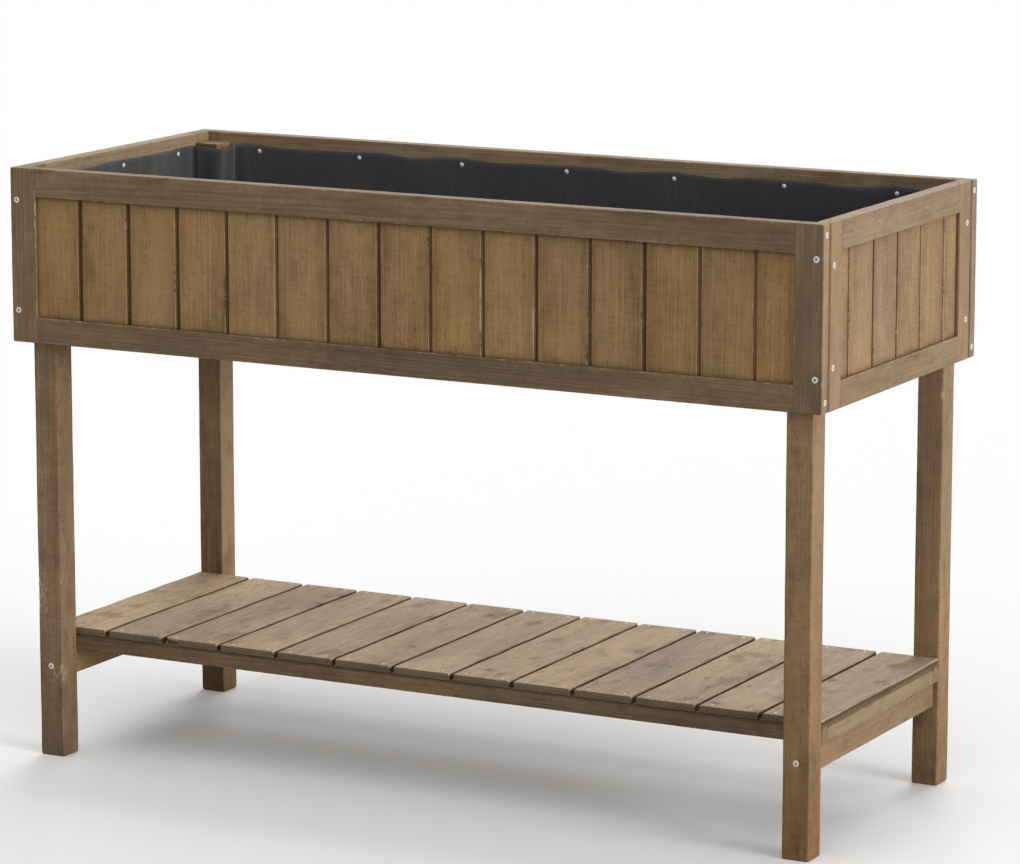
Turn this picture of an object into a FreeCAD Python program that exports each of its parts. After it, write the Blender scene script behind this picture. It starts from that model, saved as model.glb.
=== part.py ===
import FreeCAD, Part
import os

from FreeCAD import Placement, Rotation, Vector

# Raised garden bed: a panelled planting box on four legs, with a slatted shelf below.
# Millimetres. The origin is on the ground at the middle of the footprint.
# +X runs along the length to the right, +Y to the rear and +Z up.

# Overall sizes
bed_length = 1100.0
bed_width = 456.0
bed_height = 750.0
box_height = 218.0

# Panel frames
panel_thickness = 18.0
stile_width = 36.0
end_stile_width = 34.0
top_rail_height = 35.0
bottom_rail_height = 32.0
groove_depth = 8.0

# Tongued boards that stand in the grooves of the frames
board_thickness = 7.5
face_recess = 5.5
board_pitch = 70.4
board_reveal = 4.8
tongue_thickness = 2.5
tongue_engagement = 4.0
long_joint_shift = 5.3
end_joint_shift = -2.5
least_strip = 14.0

# Legs
leg_side = 34.0
leg_top_drop = 12.0
leg_round = 2.0

# Stretchers between the legs
stretcher_bottom = 100.0
stretcher_height = 33.0
stretcher_thickness = 20.0

# Shelf
shelf_rail_height = 20.0
shelf_rail_thickness = 18.0
slat_thickness = 9.0
slat_width_aim = 76.0
slat_gap = 6.5
slat_round = 1.5
cleat_overlap = 22.0

# Floor of the box
bearer_height = 20.0
bearer_thickness = 18.0
bearer_lift = 2.0
floor_thickness = 12.0

# Fabric liner
liner_thickness = 1.0
liner_edge = 8.0

# Countersunk screws
screw_radius = 2.0
screw_head_radius = 3.75
screw_head_depth = 2.4
screw_head_land = 0.4
screw_tip = 4.0
screw_tip_radius = 0.4
recess_span = 4.2
recess_width = 1.0
recess_depth = 1.6
frame_screw_length = 65.0
leg_screw_length = 45.0
stretcher_screw_length = 75.0
screw_tip_wall = 4.0

# Nails and tacks
nail_radius = 0.9
nail_head_radius = 1.7
nail_head_height = 0.8
nail_length = 18.0
tack_radius = 0.8
tack_head_radius = 3.0
tack_length = 9.0

# Places of the fasteners, measured from the nearest edge
frame_screw_inset = 13.0
corner_screw_from_top = 40.0
corner_screw_from_bottom = 40.0
leg_screw_from_top = 50.0
leg_screw_from_bottom = 50.0
leg_screw_inset = 12.0
cleat_screw_spread = 10.0
cleat_screw_rise = 6.0
bearer_screw_rise = 8.0
batten_screw_place = 90.0
nail_spread = 25.0
tack_rise = 5.0
tack_spacing_aim = 150.0
tack_end_margin = 45.0

# Edges and clearances
edge_ease = 0.8
board_fit = 0.15
board_end_gap = 0.5
shelf_side_gap = 0.5
floor_gap = 1.0
liner_fit = 0.3
fastener_fit = 0.3

# Worked out from the sizes above
half_length = bed_length / 2
half_width = bed_width / 2
box_bottom = bed_height - box_height
inner_half_length = half_length - panel_thickness
inner_half_width = half_width - panel_thickness
leg_middle = inner_half_length - leg_side / 2
bay_half_length = inner_half_length - leg_side
bay_half_width = inner_half_width - leg_side
panel_middle = panel_thickness / 2
board_back = face_recess + board_thickness
shelf_rail_bottom = stretcher_bottom + stretcher_height
slat_bottom = shelf_rail_bottom + shelf_rail_height
slat_top = slat_bottom + slat_thickness
shelf_half_width = bay_half_width - shelf_side_gap
cleat_face = shelf_half_width - 2 * shelf_rail_thickness
bearer_bottom = box_bottom + bearer_lift
floor_bottom = bearer_bottom + bearer_height
floor_top = floor_bottom + floor_thickness
tack_height = bed_height - top_rail_height + groove_depth + tack_rise
liner_top = tack_height + liner_edge
corner_screw_length = panel_thickness + end_stile_width - groove_depth - screw_tip_wall
shelf_screw_length = 2 * shelf_rail_thickness - screw_tip_wall
bearer_screw_length = bearer_thickness + panel_thickness - screw_tip_wall

X_AXIS = Vector(1, 0, 0)
Y_AXIS = Vector(0, 1, 0)
Z_AXIS = Vector(0, 0, 1)

solids = {}
holes = {}


def add(node, *shapes):
    """Put shapes into a node, which is made on first use."""
    solids.setdefault(node, []).extend(shapes)


def block(x_range, y_range, z_range):
    """Box between two places on each axis."""
    lows, highs = zip(x_range, y_range, z_range)
    return Part.makeBox(*[high - low for low, high in zip(lows, highs)], Vector(*lows))


def rounded(shape, axis, radius):
    """Shape with its edges along the axis rounded."""
    edges = [edge for edge in shape.Edges if abs(edge.tangentAt(edge.FirstParameter).dot(axis)) > 0.99]
    return shape.makeFillet(radius, edges)


def prism(points, along):
    """Solid swept from a closed outline of points."""
    outline = Part.makePolygon(points + points[:1])
    return Part.Face(outline).extrude(along)


def spread(first, last, count):
    """Evenly spaced places from first to last."""
    return [first + (last - first) * step / (count - 1) for step in range(count)]


def middle(ends):
    """Place halfway between two ends."""
    return sum(ends) / 2


def ordered(*ends):
    """Two ends of a range in rising order."""
    return tuple(sorted(ends))


def frame_profile(width, inner_edge_first):
    """Eased section of a frame timber as (across, depth), with a groove for the boards on one edge.

    Depth 0 is the outer face of the panel. The grooved edge is at across 0 or at the full width.
    """
    ease = edge_ease
    front = face_recess - board_fit
    back = board_back + board_fit
    points = [
        (0, ease), (ease, 0), (width - ease, 0), (width, ease),
        (width, front), (width - groove_depth, front), (width - groove_depth, back), (width, back),
        (width, panel_thickness - ease), (width - ease, panel_thickness),
        (ease, panel_thickness), (0, panel_thickness - ease),
    ]
    if inner_edge_first:
        points = [(width - across, depth) for across, depth in points]
    return points


def stile(inner_face, direction, width):
    """Upright of a panel, with its grooved edge at inner_face and its width going outward."""
    points = [
        Vector(inner_face + direction * (width - across), depth, box_bottom)
        for across, depth in frame_profile(width, False)
    ]
    return prism(points, Z_AXIS * box_height)


def rail(half_opening, height, bottom, grooved_on_top):
    """Cross timber of a panel, with a stub tenon at each end that fills the stile's groove."""
    points = [
        Vector(-half_opening, depth, bottom + across)
        for across, depth in frame_profile(height, not grooved_on_top)
    ]
    body = prism(points, X_AXIS * (2 * half_opening))
    tenon_end = half_opening + groove_depth - board_end_gap
    tenon_bottom = bottom if grooved_on_top else bottom + groove_depth
    tenon_range = (tenon_bottom, tenon_bottom + height - groove_depth)
    for ends in ((-tenon_end, -half_opening), (half_opening, tenon_end)):
        body = body.fuse(block(ends, (face_recess, board_back), tenon_range))
    return body.removeSplitter()


def board_outline(left, right, grooved, tongued):
    """Outline of one board as (across, depth), with a groove on its left and a tongue on its right."""
    ease = edge_ease
    core = face_recess + board_thickness / 2
    tongue_end = right + board_reveal + tongue_engagement - board_end_gap
    half_tongue = tongue_thickness / 2
    half_groove = half_tongue + board_fit
    points = [(left, face_recess + ease), (left + ease, face_recess)]
    points += [(right - ease, face_recess), (right, face_recess + ease)]
    if tongued:
        points += [(right, core - half_tongue), (tongue_end, core - half_tongue)]
        points += [(tongue_end, core + half_tongue), (right, core + half_tongue)]
    points += [(right, board_back), (left, board_back)]
    if grooved:
        floor = left + tongue_engagement
        points += [(left, core + half_groove), (floor, core + half_groove)]
        points += [(floor, core - half_groove), (left, core - half_groove)]
    return points


def board_row(half_opening, shift):
    """Row of tongued boards that fills a frame, with its joints counted from a shifted middle."""
    bottom = box_bottom + bottom_rail_height - groove_depth + board_end_gap
    top = bed_height - top_rail_height + groove_depth - board_end_gap
    reach = half_opening - least_strip
    steps = range(-int(reach / board_pitch) - 2, int(reach / board_pitch) + 3)
    joints = [shift + board_pitch * step for step in steps]
    joints = [joint for joint in joints if abs(joint) <= reach]
    row_end = half_opening + groove_depth - board_end_gap
    lefts = [-row_end] + [joint + board_reveal / 2 for joint in joints]
    rights = [joint - board_reveal / 2 for joint in joints] + [row_end]
    row = []
    for number, (left, right) in enumerate(zip(lefts, rights)):
        outline = board_outline(left, right, number > 0, number < len(joints))
        points = [Vector(across, depth, bottom) for across, depth in outline]
        row.append(prism(points, Z_AXIS * (top - bottom)))
    return row


def panel(name, sides, half_panel, width, shift, turn, outer_face):
    """Frame and boards of one side of the box, turned about the vertical from facing the front.

    The two sides name the stiles at the low and the high end before the turn.
    """
    half_opening = half_panel - width
    low_side, high_side = sides
    around = Rotation(Z_AXIS, turn)
    place = Placement(around.multVec(Vector(0, -outer_face, 0)), around)
    pieces = {
        f"{name}_{low_side}_stile": [stile(-half_opening, -1, width)],
        f"{name}_{high_side}_stile": [stile(half_opening, 1, width)],
        f"{name}_bottom_rail": [rail(half_opening, bottom_rail_height, box_bottom, True)],
        f"{name}_top_rail": [rail(half_opening, top_rail_height, bed_height - top_rail_height, False)],
        f"{name}_boards": board_row(half_opening, shift),
    }
    for node, shapes in pieces.items():
        for shape in shapes:
            shape.Placement = place
            add(node, shape)


def make_panels():
    """Two long panels, with two end panels between them."""
    long_shift = board_pitch / 2 + long_joint_shift
    panel("front", ("left", "right"), half_length, stile_width, long_shift, 0, half_width)
    panel("rear", ("right", "left"), half_length, stile_width, long_shift, 180, half_width)
    end_half = inner_half_width
    panel("right_end", ("front", "rear"), end_half, end_stile_width, end_joint_shift, 90, half_length)
    panel("left_end", ("rear", "front"), end_half, end_stile_width, end_joint_shift, -90, half_length)


def each_corner():
    """Names and signs of the four corners of the bed."""
    for depth_name, y_sign in (("front", -1), ("rear", 1)):
        for side_name, x_sign in (("left", -1), ("right", 1)):
            yield depth_name, side_name, x_sign, y_sign


def make_legs():
    """Square legs that stand inside the corners of the box."""
    for depth_name, side_name, x_sign, y_sign in each_corner():
        x_range = ordered(x_sign * bay_half_length, x_sign * inner_half_length)
        y_range = ordered(y_sign * bay_half_width, y_sign * inner_half_width)
        leg = block(x_range, y_range, (0, bed_height - leg_top_drop))
        add(f"leg_{depth_name}_{side_name}", rounded(leg, Z_AXIS, leg_round))


def slat_row(half_span):
    """Low and high X of each slat in a row with even gaps."""
    count = round((2 * half_span + slat_gap) / (slat_width_aim + slat_gap))
    pitch = (2 * half_span + slat_gap) / count
    lows = [-half_span + pitch * place for place in range(count)]
    return [(low, low + pitch - slat_gap) for low in lows]


shelf_slats = slat_row(inner_half_length)
floor_slats = slat_row(inner_half_length - floor_gap)
left_shelf_count = (len(shelf_slats) + 1) // 2
shelf_joint = shelf_slats[left_shelf_count][0]


def make_stretchers():
    """Cross bars between the front and rear legs, which carry the shelf."""
    half = stretcher_thickness / 2
    for side_name, x_sign in (("left", -1), ("right", 1)):
        x_range = (x_sign * leg_middle - half, x_sign * leg_middle + half)
        bar = block(x_range, (-bay_half_width, bay_half_width), (stretcher_bottom, shelf_rail_bottom))
        add(f"shelf_stretcher_{side_name}", rounded(bar, Y_AXIS, edge_ease))


def make_shelf():
    """Two half frames of rails and battens, joined by cleats, with slats on top."""
    z_range = (shelf_rail_bottom, slat_bottom)
    inner = shelf_half_width - shelf_rail_thickness
    cleat_range = (middle(shelf_slats[left_shelf_count - 1]) - cleat_overlap,
                   middle(shelf_slats[left_shelf_count]) + cleat_overlap)
    for depth_name, y_sign in (("front", -1), ("rear", 1)):
        y_range = ordered(y_sign * inner, y_sign * shelf_half_width)
        left = block((-inner_half_length, shelf_joint), y_range, z_range)
        right = block((shelf_joint, inner_half_length), y_range, z_range)
        add(f"shelf_rail_{depth_name}_left", rounded(left, X_AXIS, edge_ease))
        add(f"shelf_rail_{depth_name}_right", rounded(right, X_AXIS, edge_ease))
        cleat_depth = ordered(y_sign * cleat_face, y_sign * inner)
        cleat = block(cleat_range, cleat_depth, z_range)
        add(f"shelf_cleat_{depth_name}", rounded(cleat, X_AXIS, edge_ease))
    for side_name, x_sign in (("left", -1), ("right", 1)):
        x_range = ordered(x_sign * (inner_half_length - shelf_rail_thickness), x_sign * inner_half_length)
        batten = block(x_range, (-inner, inner), z_range)
        add(f"shelf_batten_{side_name}", rounded(batten, Y_AXIS, edge_ease))
    for number, x_range in enumerate(shelf_slats, 1):
        slat = block(x_range, (-shelf_half_width, shelf_half_width), (slat_bottom, slat_top))
        add(f"shelf_slat_{number:02d}", rounded(slat, Y_AXIS, slat_round))


def leg_notches(gap, z_range):
    """Boxes around the legs, larger by a gap, to be cut from what lies between them."""
    notches = []
    for _, _, x_sign, y_sign in each_corner():
        x_range = ordered(x_sign * (bay_half_length - gap), x_sign * half_length)
        y_range = ordered(y_sign * (bay_half_width - gap), y_sign * half_width)
        notches.append(block(x_range, y_range, z_range))
    return notches


def make_floor():
    """Boards with drainage gaps on two bearers, notched around the legs."""
    bearer_half = bay_half_length - board_end_gap
    floor_half = inner_half_width - floor_gap
    for depth_name, y_sign in (("front", -1), ("rear", 1)):
        y_range = ordered(y_sign * (inner_half_width - bearer_thickness), y_sign * inner_half_width)
        bearer = block((-bearer_half, bearer_half), y_range, (bearer_bottom, floor_bottom))
        add(f"floor_bearer_{depth_name}", rounded(bearer, X_AXIS, edge_ease))
    notches = leg_notches(floor_gap, (floor_bottom, floor_top))
    for x_range in floor_slats:
        slat = block(x_range, (-floor_half, floor_half), (floor_bottom, floor_top))
        slat = rounded(slat, Y_AXIS, edge_ease)
        add("floor_boards", slat.cut(notches))


def make_liner():
    """Open fabric tray that lies on the floor and against the walls and legs."""
    height = (floor_top, liner_top)
    inside = (floor_top + liner_thickness, bed_height)
    shells = []
    for gap, z_range in ((liner_fit, height), (liner_fit + liner_thickness, inside)):
        half_x = inner_half_length - gap
        half_y = inner_half_width - gap
        tray = block((-half_x, half_x), (-half_y, half_y), z_range)
        shells.append(tray.cut(leg_notches(gap, z_range)))
    outer, hollow = shells
    add("liner", outer.cut(hollow))


def turned(points):
    """Solid of revolution about Z from a half outline of (radius, z) points."""
    outline = Part.makePolygon([Vector(radius, 0, z) for radius, z in points + points[:1]])
    return Part.Face(outline).revolve(Vector(), Z_AXIS, 360)


def screw_body(length, fit):
    """Countersunk screw with its head flush at the origin and its tip toward +Z, grown by a fit."""
    radius = screw_radius + fit
    head = screw_head_radius + fit
    return turned([
        (0, 0), (head, 0), (head, screw_head_land), (radius, screw_head_depth + fit),
        (radius, length - screw_tip), (screw_tip_radius + fit, length + fit), (0, length + fit),
    ])


def screw(length):
    """Countersunk screw with a cross recess in its head."""
    half_span = recess_span / 2
    half_gap = recess_width / 2
    depth = (0, recess_depth)
    cross = [block((-half_span, half_span), (-half_gap, half_gap), depth),
             block((-half_gap, half_gap), (-half_span, half_span), depth)]
    return screw_body(length, 0).cut(cross)


def pin_body(radius, head_radius, length, fit):
    """Nail or tack with a flat head at the origin and its tip toward +Z, grown by a fit."""
    return turned([
        (0, 0), (head_radius + fit, 0), (head_radius + fit, nail_head_height),
        (radius + fit, nail_head_height), (radius + fit, length + fit), (0, length + fit),
    ])


screw_lengths = {
    "frame_screws": frame_screw_length,
    "corner_screws": corner_screw_length,
    "leg_screws": leg_screw_length,
    "stretcher_screws": stretcher_screw_length,
    "shelf_screws": shelf_screw_length,
    "bearer_screws": bearer_screw_length,
}
pin_sizes = {
    "slat_nails": (nail_radius, nail_head_radius, nail_length),
    "liner_tacks": (tack_radius, tack_head_radius, tack_length),
}
fasteners = {}
for kind, length in screw_lengths.items():
    fasteners[kind] = (screw(length), screw_body(length, fastener_fit))
for kind, sizes in pin_sizes.items():
    fasteners[kind] = (pin_body(*sizes, 0), pin_body(*sizes, fastener_fit))


def drive(kind, point, direction, *through):
    """Drive one fastener in at a point, and leave its hole in each node that it goes through."""
    body, hole = fasteners[kind]
    place = Placement(Vector(*point), Rotation(Z_AXIS, direction))
    piece = body.copy()
    piece.Placement = place
    add(kind, piece)
    for node in through:
        tool = hole.copy()
        tool.Placement = place
        holes.setdefault(node, []).append(tool)


def drive_panel_screws():
    """Screws that join stiles to rails, long panels to end panels, and end panels to legs."""
    rail_heights = (("bottom", box_bottom + frame_screw_inset), ("top", bed_height - frame_screw_inset))
    corner_heights = (box_bottom + corner_screw_from_bottom, bed_height - corner_screw_from_top)
    leg_heights = (box_bottom + leg_screw_from_bottom, bed_height - leg_screw_from_top)
    for depth_name, side_name, x_sign, y_sign in each_corner():
        long_stile = f"{depth_name}_{side_name}_stile"
        end_stile = f"{side_name}_end_{depth_name}_stile"
        long_y = y_sign * (half_width - panel_middle)
        end_x = x_sign * (half_length - panel_middle)
        for rail_name, z in rail_heights:
            drive("frame_screws", (x_sign * half_length, long_y, z), X_AXIS * -x_sign,
                  long_stile, f"{depth_name}_{rail_name}_rail")
            drive("frame_screws", (end_x, y_sign * inner_half_width, z), Y_AXIS * -y_sign,
                  end_stile, f"{side_name}_end_{rail_name}_rail")
        for z in corner_heights:
            drive("corner_screws", (end_x, y_sign * half_width, z), Y_AXIS * -y_sign,
                  long_stile, end_stile)
        for z in leg_heights:
            drive("leg_screws", (x_sign * half_length, y_sign * (inner_half_width - leg_screw_inset), z),
                  X_AXIS * -x_sign, end_stile, f"leg_{depth_name}_{side_name}")


def drive_shelf_fasteners():
    """Screws of the stretchers, cleats and battens, and the nails of the slats."""
    stretcher_middle = stretcher_bottom + stretcher_height / 2
    for depth_name, side_name, x_sign, y_sign in each_corner():
        drive("stretcher_screws", (x_sign * leg_middle, y_sign * inner_half_width, stretcher_middle),
              Y_AXIS * -y_sign, f"leg_{depth_name}_{side_name}", f"shelf_stretcher_{side_name}")
        inner_edge = max(inner_half_length - shelf_rail_thickness, leg_middle - stretcher_thickness / 2)
        outer_edge = min(inner_half_length, leg_middle + stretcher_thickness / 2)
        batten_x = x_sign * middle((inner_edge, outer_edge))
        drive("shelf_screws", (batten_x, y_sign * batten_screw_place, slat_bottom), -Z_AXIS,
              f"shelf_batten_{side_name}", f"shelf_stretcher_{side_name}")
    cleat_z = shelf_rail_bottom + cleat_screw_rise
    nail_line = shelf_half_width - shelf_rail_thickness / 2
    for depth_name, y_sign in (("front", -1), ("rear", 1)):
        for half_name, slat in (("left", left_shelf_count - 1), ("right", left_shelf_count)):
            for offset in (-cleat_screw_spread, cleat_screw_spread):
                x = middle(shelf_slats[slat]) + offset
                drive("shelf_screws", (x, y_sign * cleat_face, cleat_z), Y_AXIS * y_sign,
                      f"shelf_cleat_{depth_name}", f"shelf_rail_{depth_name}_{half_name}")
        for number, x_range in enumerate(shelf_slats, 1):
            half_name = "left" if number <= left_shelf_count else "right"
            for offset in (-nail_spread, nail_spread):
                drive("slat_nails", (middle(x_range) + offset, y_sign * nail_line, slat_top),
                      -Z_AXIS, f"shelf_slat_{number:02d}", f"shelf_rail_{depth_name}_{half_name}")


def drive_floor_fasteners():
    """Screws of the bearers and nails of the floor boards."""
    bearer_face = inner_half_width - bearer_thickness
    nail_line = inner_half_width - bearer_thickness / 2
    bearer_end = bay_half_length - board_end_gap - nail_head_radius
    for depth_name, y_sign in (("front", -1), ("rear", 1)):
        bearer = f"floor_bearer_{depth_name}"
        for x_range in floor_slats[1:-1:2]:
            point = (middle(x_range), y_sign * bearer_face, bearer_bottom + bearer_screw_rise)
            drive("bearer_screws", point, Y_AXIS * y_sign, bearer, f"{depth_name}_bottom_rail")
        for x_range in floor_slats:
            for offset in (-nail_spread, nail_spread):
                x = middle(x_range) + offset
                if abs(x) < bearer_end:
                    drive("slat_nails", (x, y_sign * nail_line, floor_top), -Z_AXIS,
                          "floor_boards", bearer)


def drive_tacks():
    """Tacks that hold the upper edge of the liner to the top rails."""
    inset = liner_fit + liner_thickness + nail_head_height
    long_wall = (bay_half_length, inner_half_width)
    end_wall = (bay_half_width, inner_half_length)
    sides = (("front", 0, long_wall), ("right_end", 90, end_wall),
             ("rear", 180, long_wall), ("left_end", 270, end_wall))
    for name, turn, (half_span, wall) in sides:
        last = half_span - tack_end_margin
        around = Rotation(Z_AXIS, turn)
        for along in spread(-last, last, round(2 * last / tack_spacing_aim) + 1):
            point = around.multVec(Vector(along, inset - wall, tack_height))
            drive("liner_tacks", point, around.multVec(-Y_AXIS), "liner", f"{name}_top_rail")


def drilled(shape, tools):
    """Shape with the holes that reach it cut out."""
    near = [tool for tool in tools if tool.BoundBox.intersect(shape.BoundBox)]
    return shape.cut(near) if near else shape


make_panels()
make_legs()
make_stretchers()
make_shelf()
make_floor()
make_liner()
drive_panel_screws()
drive_shelf_fasteners()
drive_floor_fasteners()
drive_tacks()

os.makedirs("parts", exist_ok=True)
for node, shapes in solids.items():
    finished = [solid for shape in shapes for solid in drilled(shape, holes.get(node, [])).Solids]
    result = finished[0] if len(finished) == 1 else Part.makeCompound(finished)
    result.exportStep(f"parts/{node}.step")
    print(node, len(finished), "solids, valid" if result.isValid() else "solids, NOT VALID")
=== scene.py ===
"""Raised garden bed: stained timber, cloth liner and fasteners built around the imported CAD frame."""

import math
import zlib
from typing import NamedTuple

import bpy
import numpy as np
from bpy.props import FloatProperty, FloatVectorProperty, PointerProperty
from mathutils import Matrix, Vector


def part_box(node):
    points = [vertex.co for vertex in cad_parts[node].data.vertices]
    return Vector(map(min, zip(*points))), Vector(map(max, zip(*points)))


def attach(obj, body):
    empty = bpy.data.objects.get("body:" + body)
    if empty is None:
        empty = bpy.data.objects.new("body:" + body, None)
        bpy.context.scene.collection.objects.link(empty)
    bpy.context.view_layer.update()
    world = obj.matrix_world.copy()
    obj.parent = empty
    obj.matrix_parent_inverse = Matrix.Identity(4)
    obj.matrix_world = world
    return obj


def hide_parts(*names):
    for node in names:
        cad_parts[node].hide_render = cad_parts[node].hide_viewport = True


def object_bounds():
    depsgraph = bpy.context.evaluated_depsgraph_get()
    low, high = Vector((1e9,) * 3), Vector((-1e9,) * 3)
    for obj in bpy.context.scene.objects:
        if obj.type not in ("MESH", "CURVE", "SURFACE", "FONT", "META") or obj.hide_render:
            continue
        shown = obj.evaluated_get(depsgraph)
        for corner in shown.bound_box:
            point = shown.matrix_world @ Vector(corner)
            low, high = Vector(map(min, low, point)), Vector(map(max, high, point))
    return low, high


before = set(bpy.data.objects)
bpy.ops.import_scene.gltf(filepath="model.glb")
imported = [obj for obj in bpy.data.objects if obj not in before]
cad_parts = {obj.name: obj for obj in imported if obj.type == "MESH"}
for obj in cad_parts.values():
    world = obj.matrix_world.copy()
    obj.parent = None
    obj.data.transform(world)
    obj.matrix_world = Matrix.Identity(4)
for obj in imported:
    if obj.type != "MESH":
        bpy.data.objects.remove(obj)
cad_low, cad_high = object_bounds()

bl_info = {
    "name": "Raised Garden Bed",
    "version": (1, 0, 0),
    "blender": (4, 5, 0),
    "location": "View3D > Sidebar > Garden Bed",
    "description": "Stained timber, cloth liner and fasteners of a raised garden bed",
    "category": "Object",
}

MM = 0.001
BOXES = {name: np.array(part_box(name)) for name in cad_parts}
X_AXIS, Y_AXIS, Z_AXIS = np.eye(3)

# Directions across, deep and along a timber that lies along each axis
ALONG_X = (Y_AXIS, Z_AXIS, X_AXIS)
ALONG_Y = (X_AXIS, Z_AXIS, Y_AXIS)
ALONG_Z = (X_AXIS, Y_AXIS, Z_AXIS)

# Joinery, as in the part's source
BOARD_PITCH = 70.4 * MM
BOARD_REVEAL = 4.8 * MM
BOARD_THICKNESS = 7.5 * MM
FACE_RECESS = 5.5 * MM
TONGUE_THICKNESS = 2.5 * MM
TONGUE_REACH = 4.0 * MM
BOARD_FIT = 0.15 * MM
GROOVE_DEPTH = 8.0 * MM
END_GAP = 0.5 * MM
TENON_LENGTH = GROOVE_DEPTH - END_GAP
LONG_JOINT_SHIFT = BOARD_PITCH / 2 + 5.3 * MM
END_JOINT_SHIFT = -2.5 * MM
LEAST_STRIP = 14.0 * MM
FLOOR_COUNT = 13
FLOOR_GAP = 6.5 * MM

# Each panel: turn about the vertical, sides that name its stiles, shift of its board joints
PANELS = {
    "front": (0, ("left", "right"), LONG_JOINT_SHIFT),
    "rear": (180, ("right", "left"), LONG_JOINT_SHIFT),
    "right_end": (90, ("front", "rear"), END_JOINT_SHIFT),
    "left_end": (-90, ("rear", "front"), END_JOINT_SHIFT),
}


def colour(name, description, default):
    """Colour setting."""
    return FloatVectorProperty(name=name, description=description, subtype="COLOR", size=3, min=0, max=1,
                               default=default)


def length(name, description, millimetres):
    """Length setting, with its default given in millimetres."""
    return FloatProperty(name=name, description=description, subtype="DISTANCE", unit="LENGTH", min=0,
                         default=millimetres * MM)


def light(name, description, default):
    """Setting for the level of a light."""
    return FloatProperty(name=name, description=description, min=0, default=default)


class BedColours(bpy.types.PropertyGroup):
    """Colours of the timber, the cloth and the metal."""

    board_stain: colour("Boards", "Stain of the tongued boards", (0.350, 0.219, 0.101))
    frame_stain: colour("Frames", "Stain of the stiles and rails", (0.283, 0.194, 0.111))
    leg_stain: colour("Legs", "Stain of the legs and stretchers", (0.302, 0.199, 0.109))
    shelf_stain: colour("Shelf", "Thin stain of the shelf", (0.484, 0.358, 0.227))
    floor_wood: colour("Floor", "Bare wood of the box floor", (0.470, 0.350, 0.220))
    raw_wood: colour("Raw wood", "Fresh wood in chips and worn edges", (0.520, 0.385, 0.230))
    knot: colour("Knots", "Heart of a knot", (0.185, 0.115, 0.060))
    liner: colour("Liner", "Non-woven cloth", (0.026, 0.026, 0.028))
    zinc: colour("Zinc", "Plated screws", (0.920, 0.905, 0.865))
    steel: colour("Steel", "Nails and tacks", (0.700, 0.660, 0.590))


class BedSizes(bpy.types.PropertyGroup):
    """Sizes of the wear on the timber, the slack in the cloth and the fastener heads."""

    chip_length: length("Chip length", "Longest half length of a chip in an arris", 6.0)
    ring_pitch: length("Ring pitch", "Spacing of the growth rings", 3.3)
    knot_spacing: length("Knot spacing", "Spacing of the places where a knot may grow", 95.0)
    cloth_thickness: length("Cloth", "Thickness of the liner", 0.8)
    cloth_slack: length("Slack", "How far the liner stands off the walls", 3.4)
    pleat_depth: length("Pleats", "Depth of the gathers beside the legs", 7.0)
    head_proud: length("Head height", "How far the screw heads stand proud", 0.5)


class BedStage(bpy.types.PropertyGroup):
    """Light and floor of the studio."""

    sky: light("Sky", "Level of the even light", 0.20)
    key: light("Key", "Level of the low light from the right", 0.86)
    fill: light("Fill", "Level of the low light from the front", 0.10)
    back: light("Back", "Level of the low light from the rear", 0.55)
    top: light("Top", "Level of the light from above", 0.38)
    floor: colour("Floor", "Floor as the camera sees it", (1.0, 1.0, 1.0))
    bounce: colour("Bounce", "Floor as the bed sees it", (0.42, 0.41, 0.39))


class Wire:
    """Output socket in a node tree, on which arithmetic adds Math nodes."""

    def __init__(self, tree, socket=None):
        self.tree = tree
        self.socket = socket

    def node(self, kind, settings=None, sockets=None, output=0):
        """Add a node: its settings first, then values or links of its sockets. Gives one output."""
        made = self.tree.nodes.new(kind)
        for name, value in (settings or {}).items():
            if name == "stops":
                set_stops(made.color_ramp, value)
            else:
                setattr(made, name, value)
        for key, value in (sockets or {}).items():
            if isinstance(value, Wire):
                self.tree.links.new(value.socket, made.inputs[key])
            else:
                made.inputs[key].default_value = value
        return Wire(self.tree, made.outputs[output])

    def other(self, output):
        """Another output of the same node."""
        return Wire(self.tree, self.socket.node.outputs[output])

    def show(self, kind):
        """Lead this surface to an output node of a kind."""
        output = self.tree.nodes.new(kind)
        self.tree.links.new(self.socket, output.inputs["Surface"])

    def math(self, operation, *values):
        """Math node on this value and others."""
        return self.node("ShaderNodeMath", {"operation": operation}, dict(enumerate((self, *values))))

    def __add__(self, value):
        return self.math("ADD", value)

    __radd__ = __add__

    def __sub__(self, value):
        return self.math("SUBTRACT", value)

    def __rsub__(self, value):
        return self.node("ShaderNodeMath", {"operation": "SUBTRACT"}, {0: value, 1: self})

    def __mul__(self, value):
        return self.math("MULTIPLY", value)

    __rmul__ = __mul__

    def __truediv__(self, value):
        return self.math("DIVIDE", value)

    def __rtruediv__(self, value):
        return self.node("ShaderNodeMath", {"operation": "DIVIDE"}, {0: value, 1: self})

    def rise(self, low, high):
        """Smooth step from 0 at low to 1 at high."""
        return self.node("ShaderNodeMapRange", {"interpolation_type": "SMOOTHSTEP"},
                         {"Value": self, "From Min": low, "From Max": high})

    def mix(self, below, above, way="MIX"):
        """Mix two colours with this value as the factor."""
        return self.node("ShaderNodeMix", {"data_type": "RGBA", "blend_type": way},
                         {0: self, 6: below, 7: above}, 2)

    def stretch(self, *scales):
        """This vector with each axis scaled."""
        return self.node("ShaderNodeVectorMath", {"operation": "MULTIPLY"}, {0: self, 1: scales})

    def noise(self, detail=2.0, roughness=0.5, scale=1.0):
        """Noise value at this vector."""
        return self.node("ShaderNodeTexNoise", None,
                         {"Vector": self, "Scale": scale, "Detail": detail, "Roughness": roughness})


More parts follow.
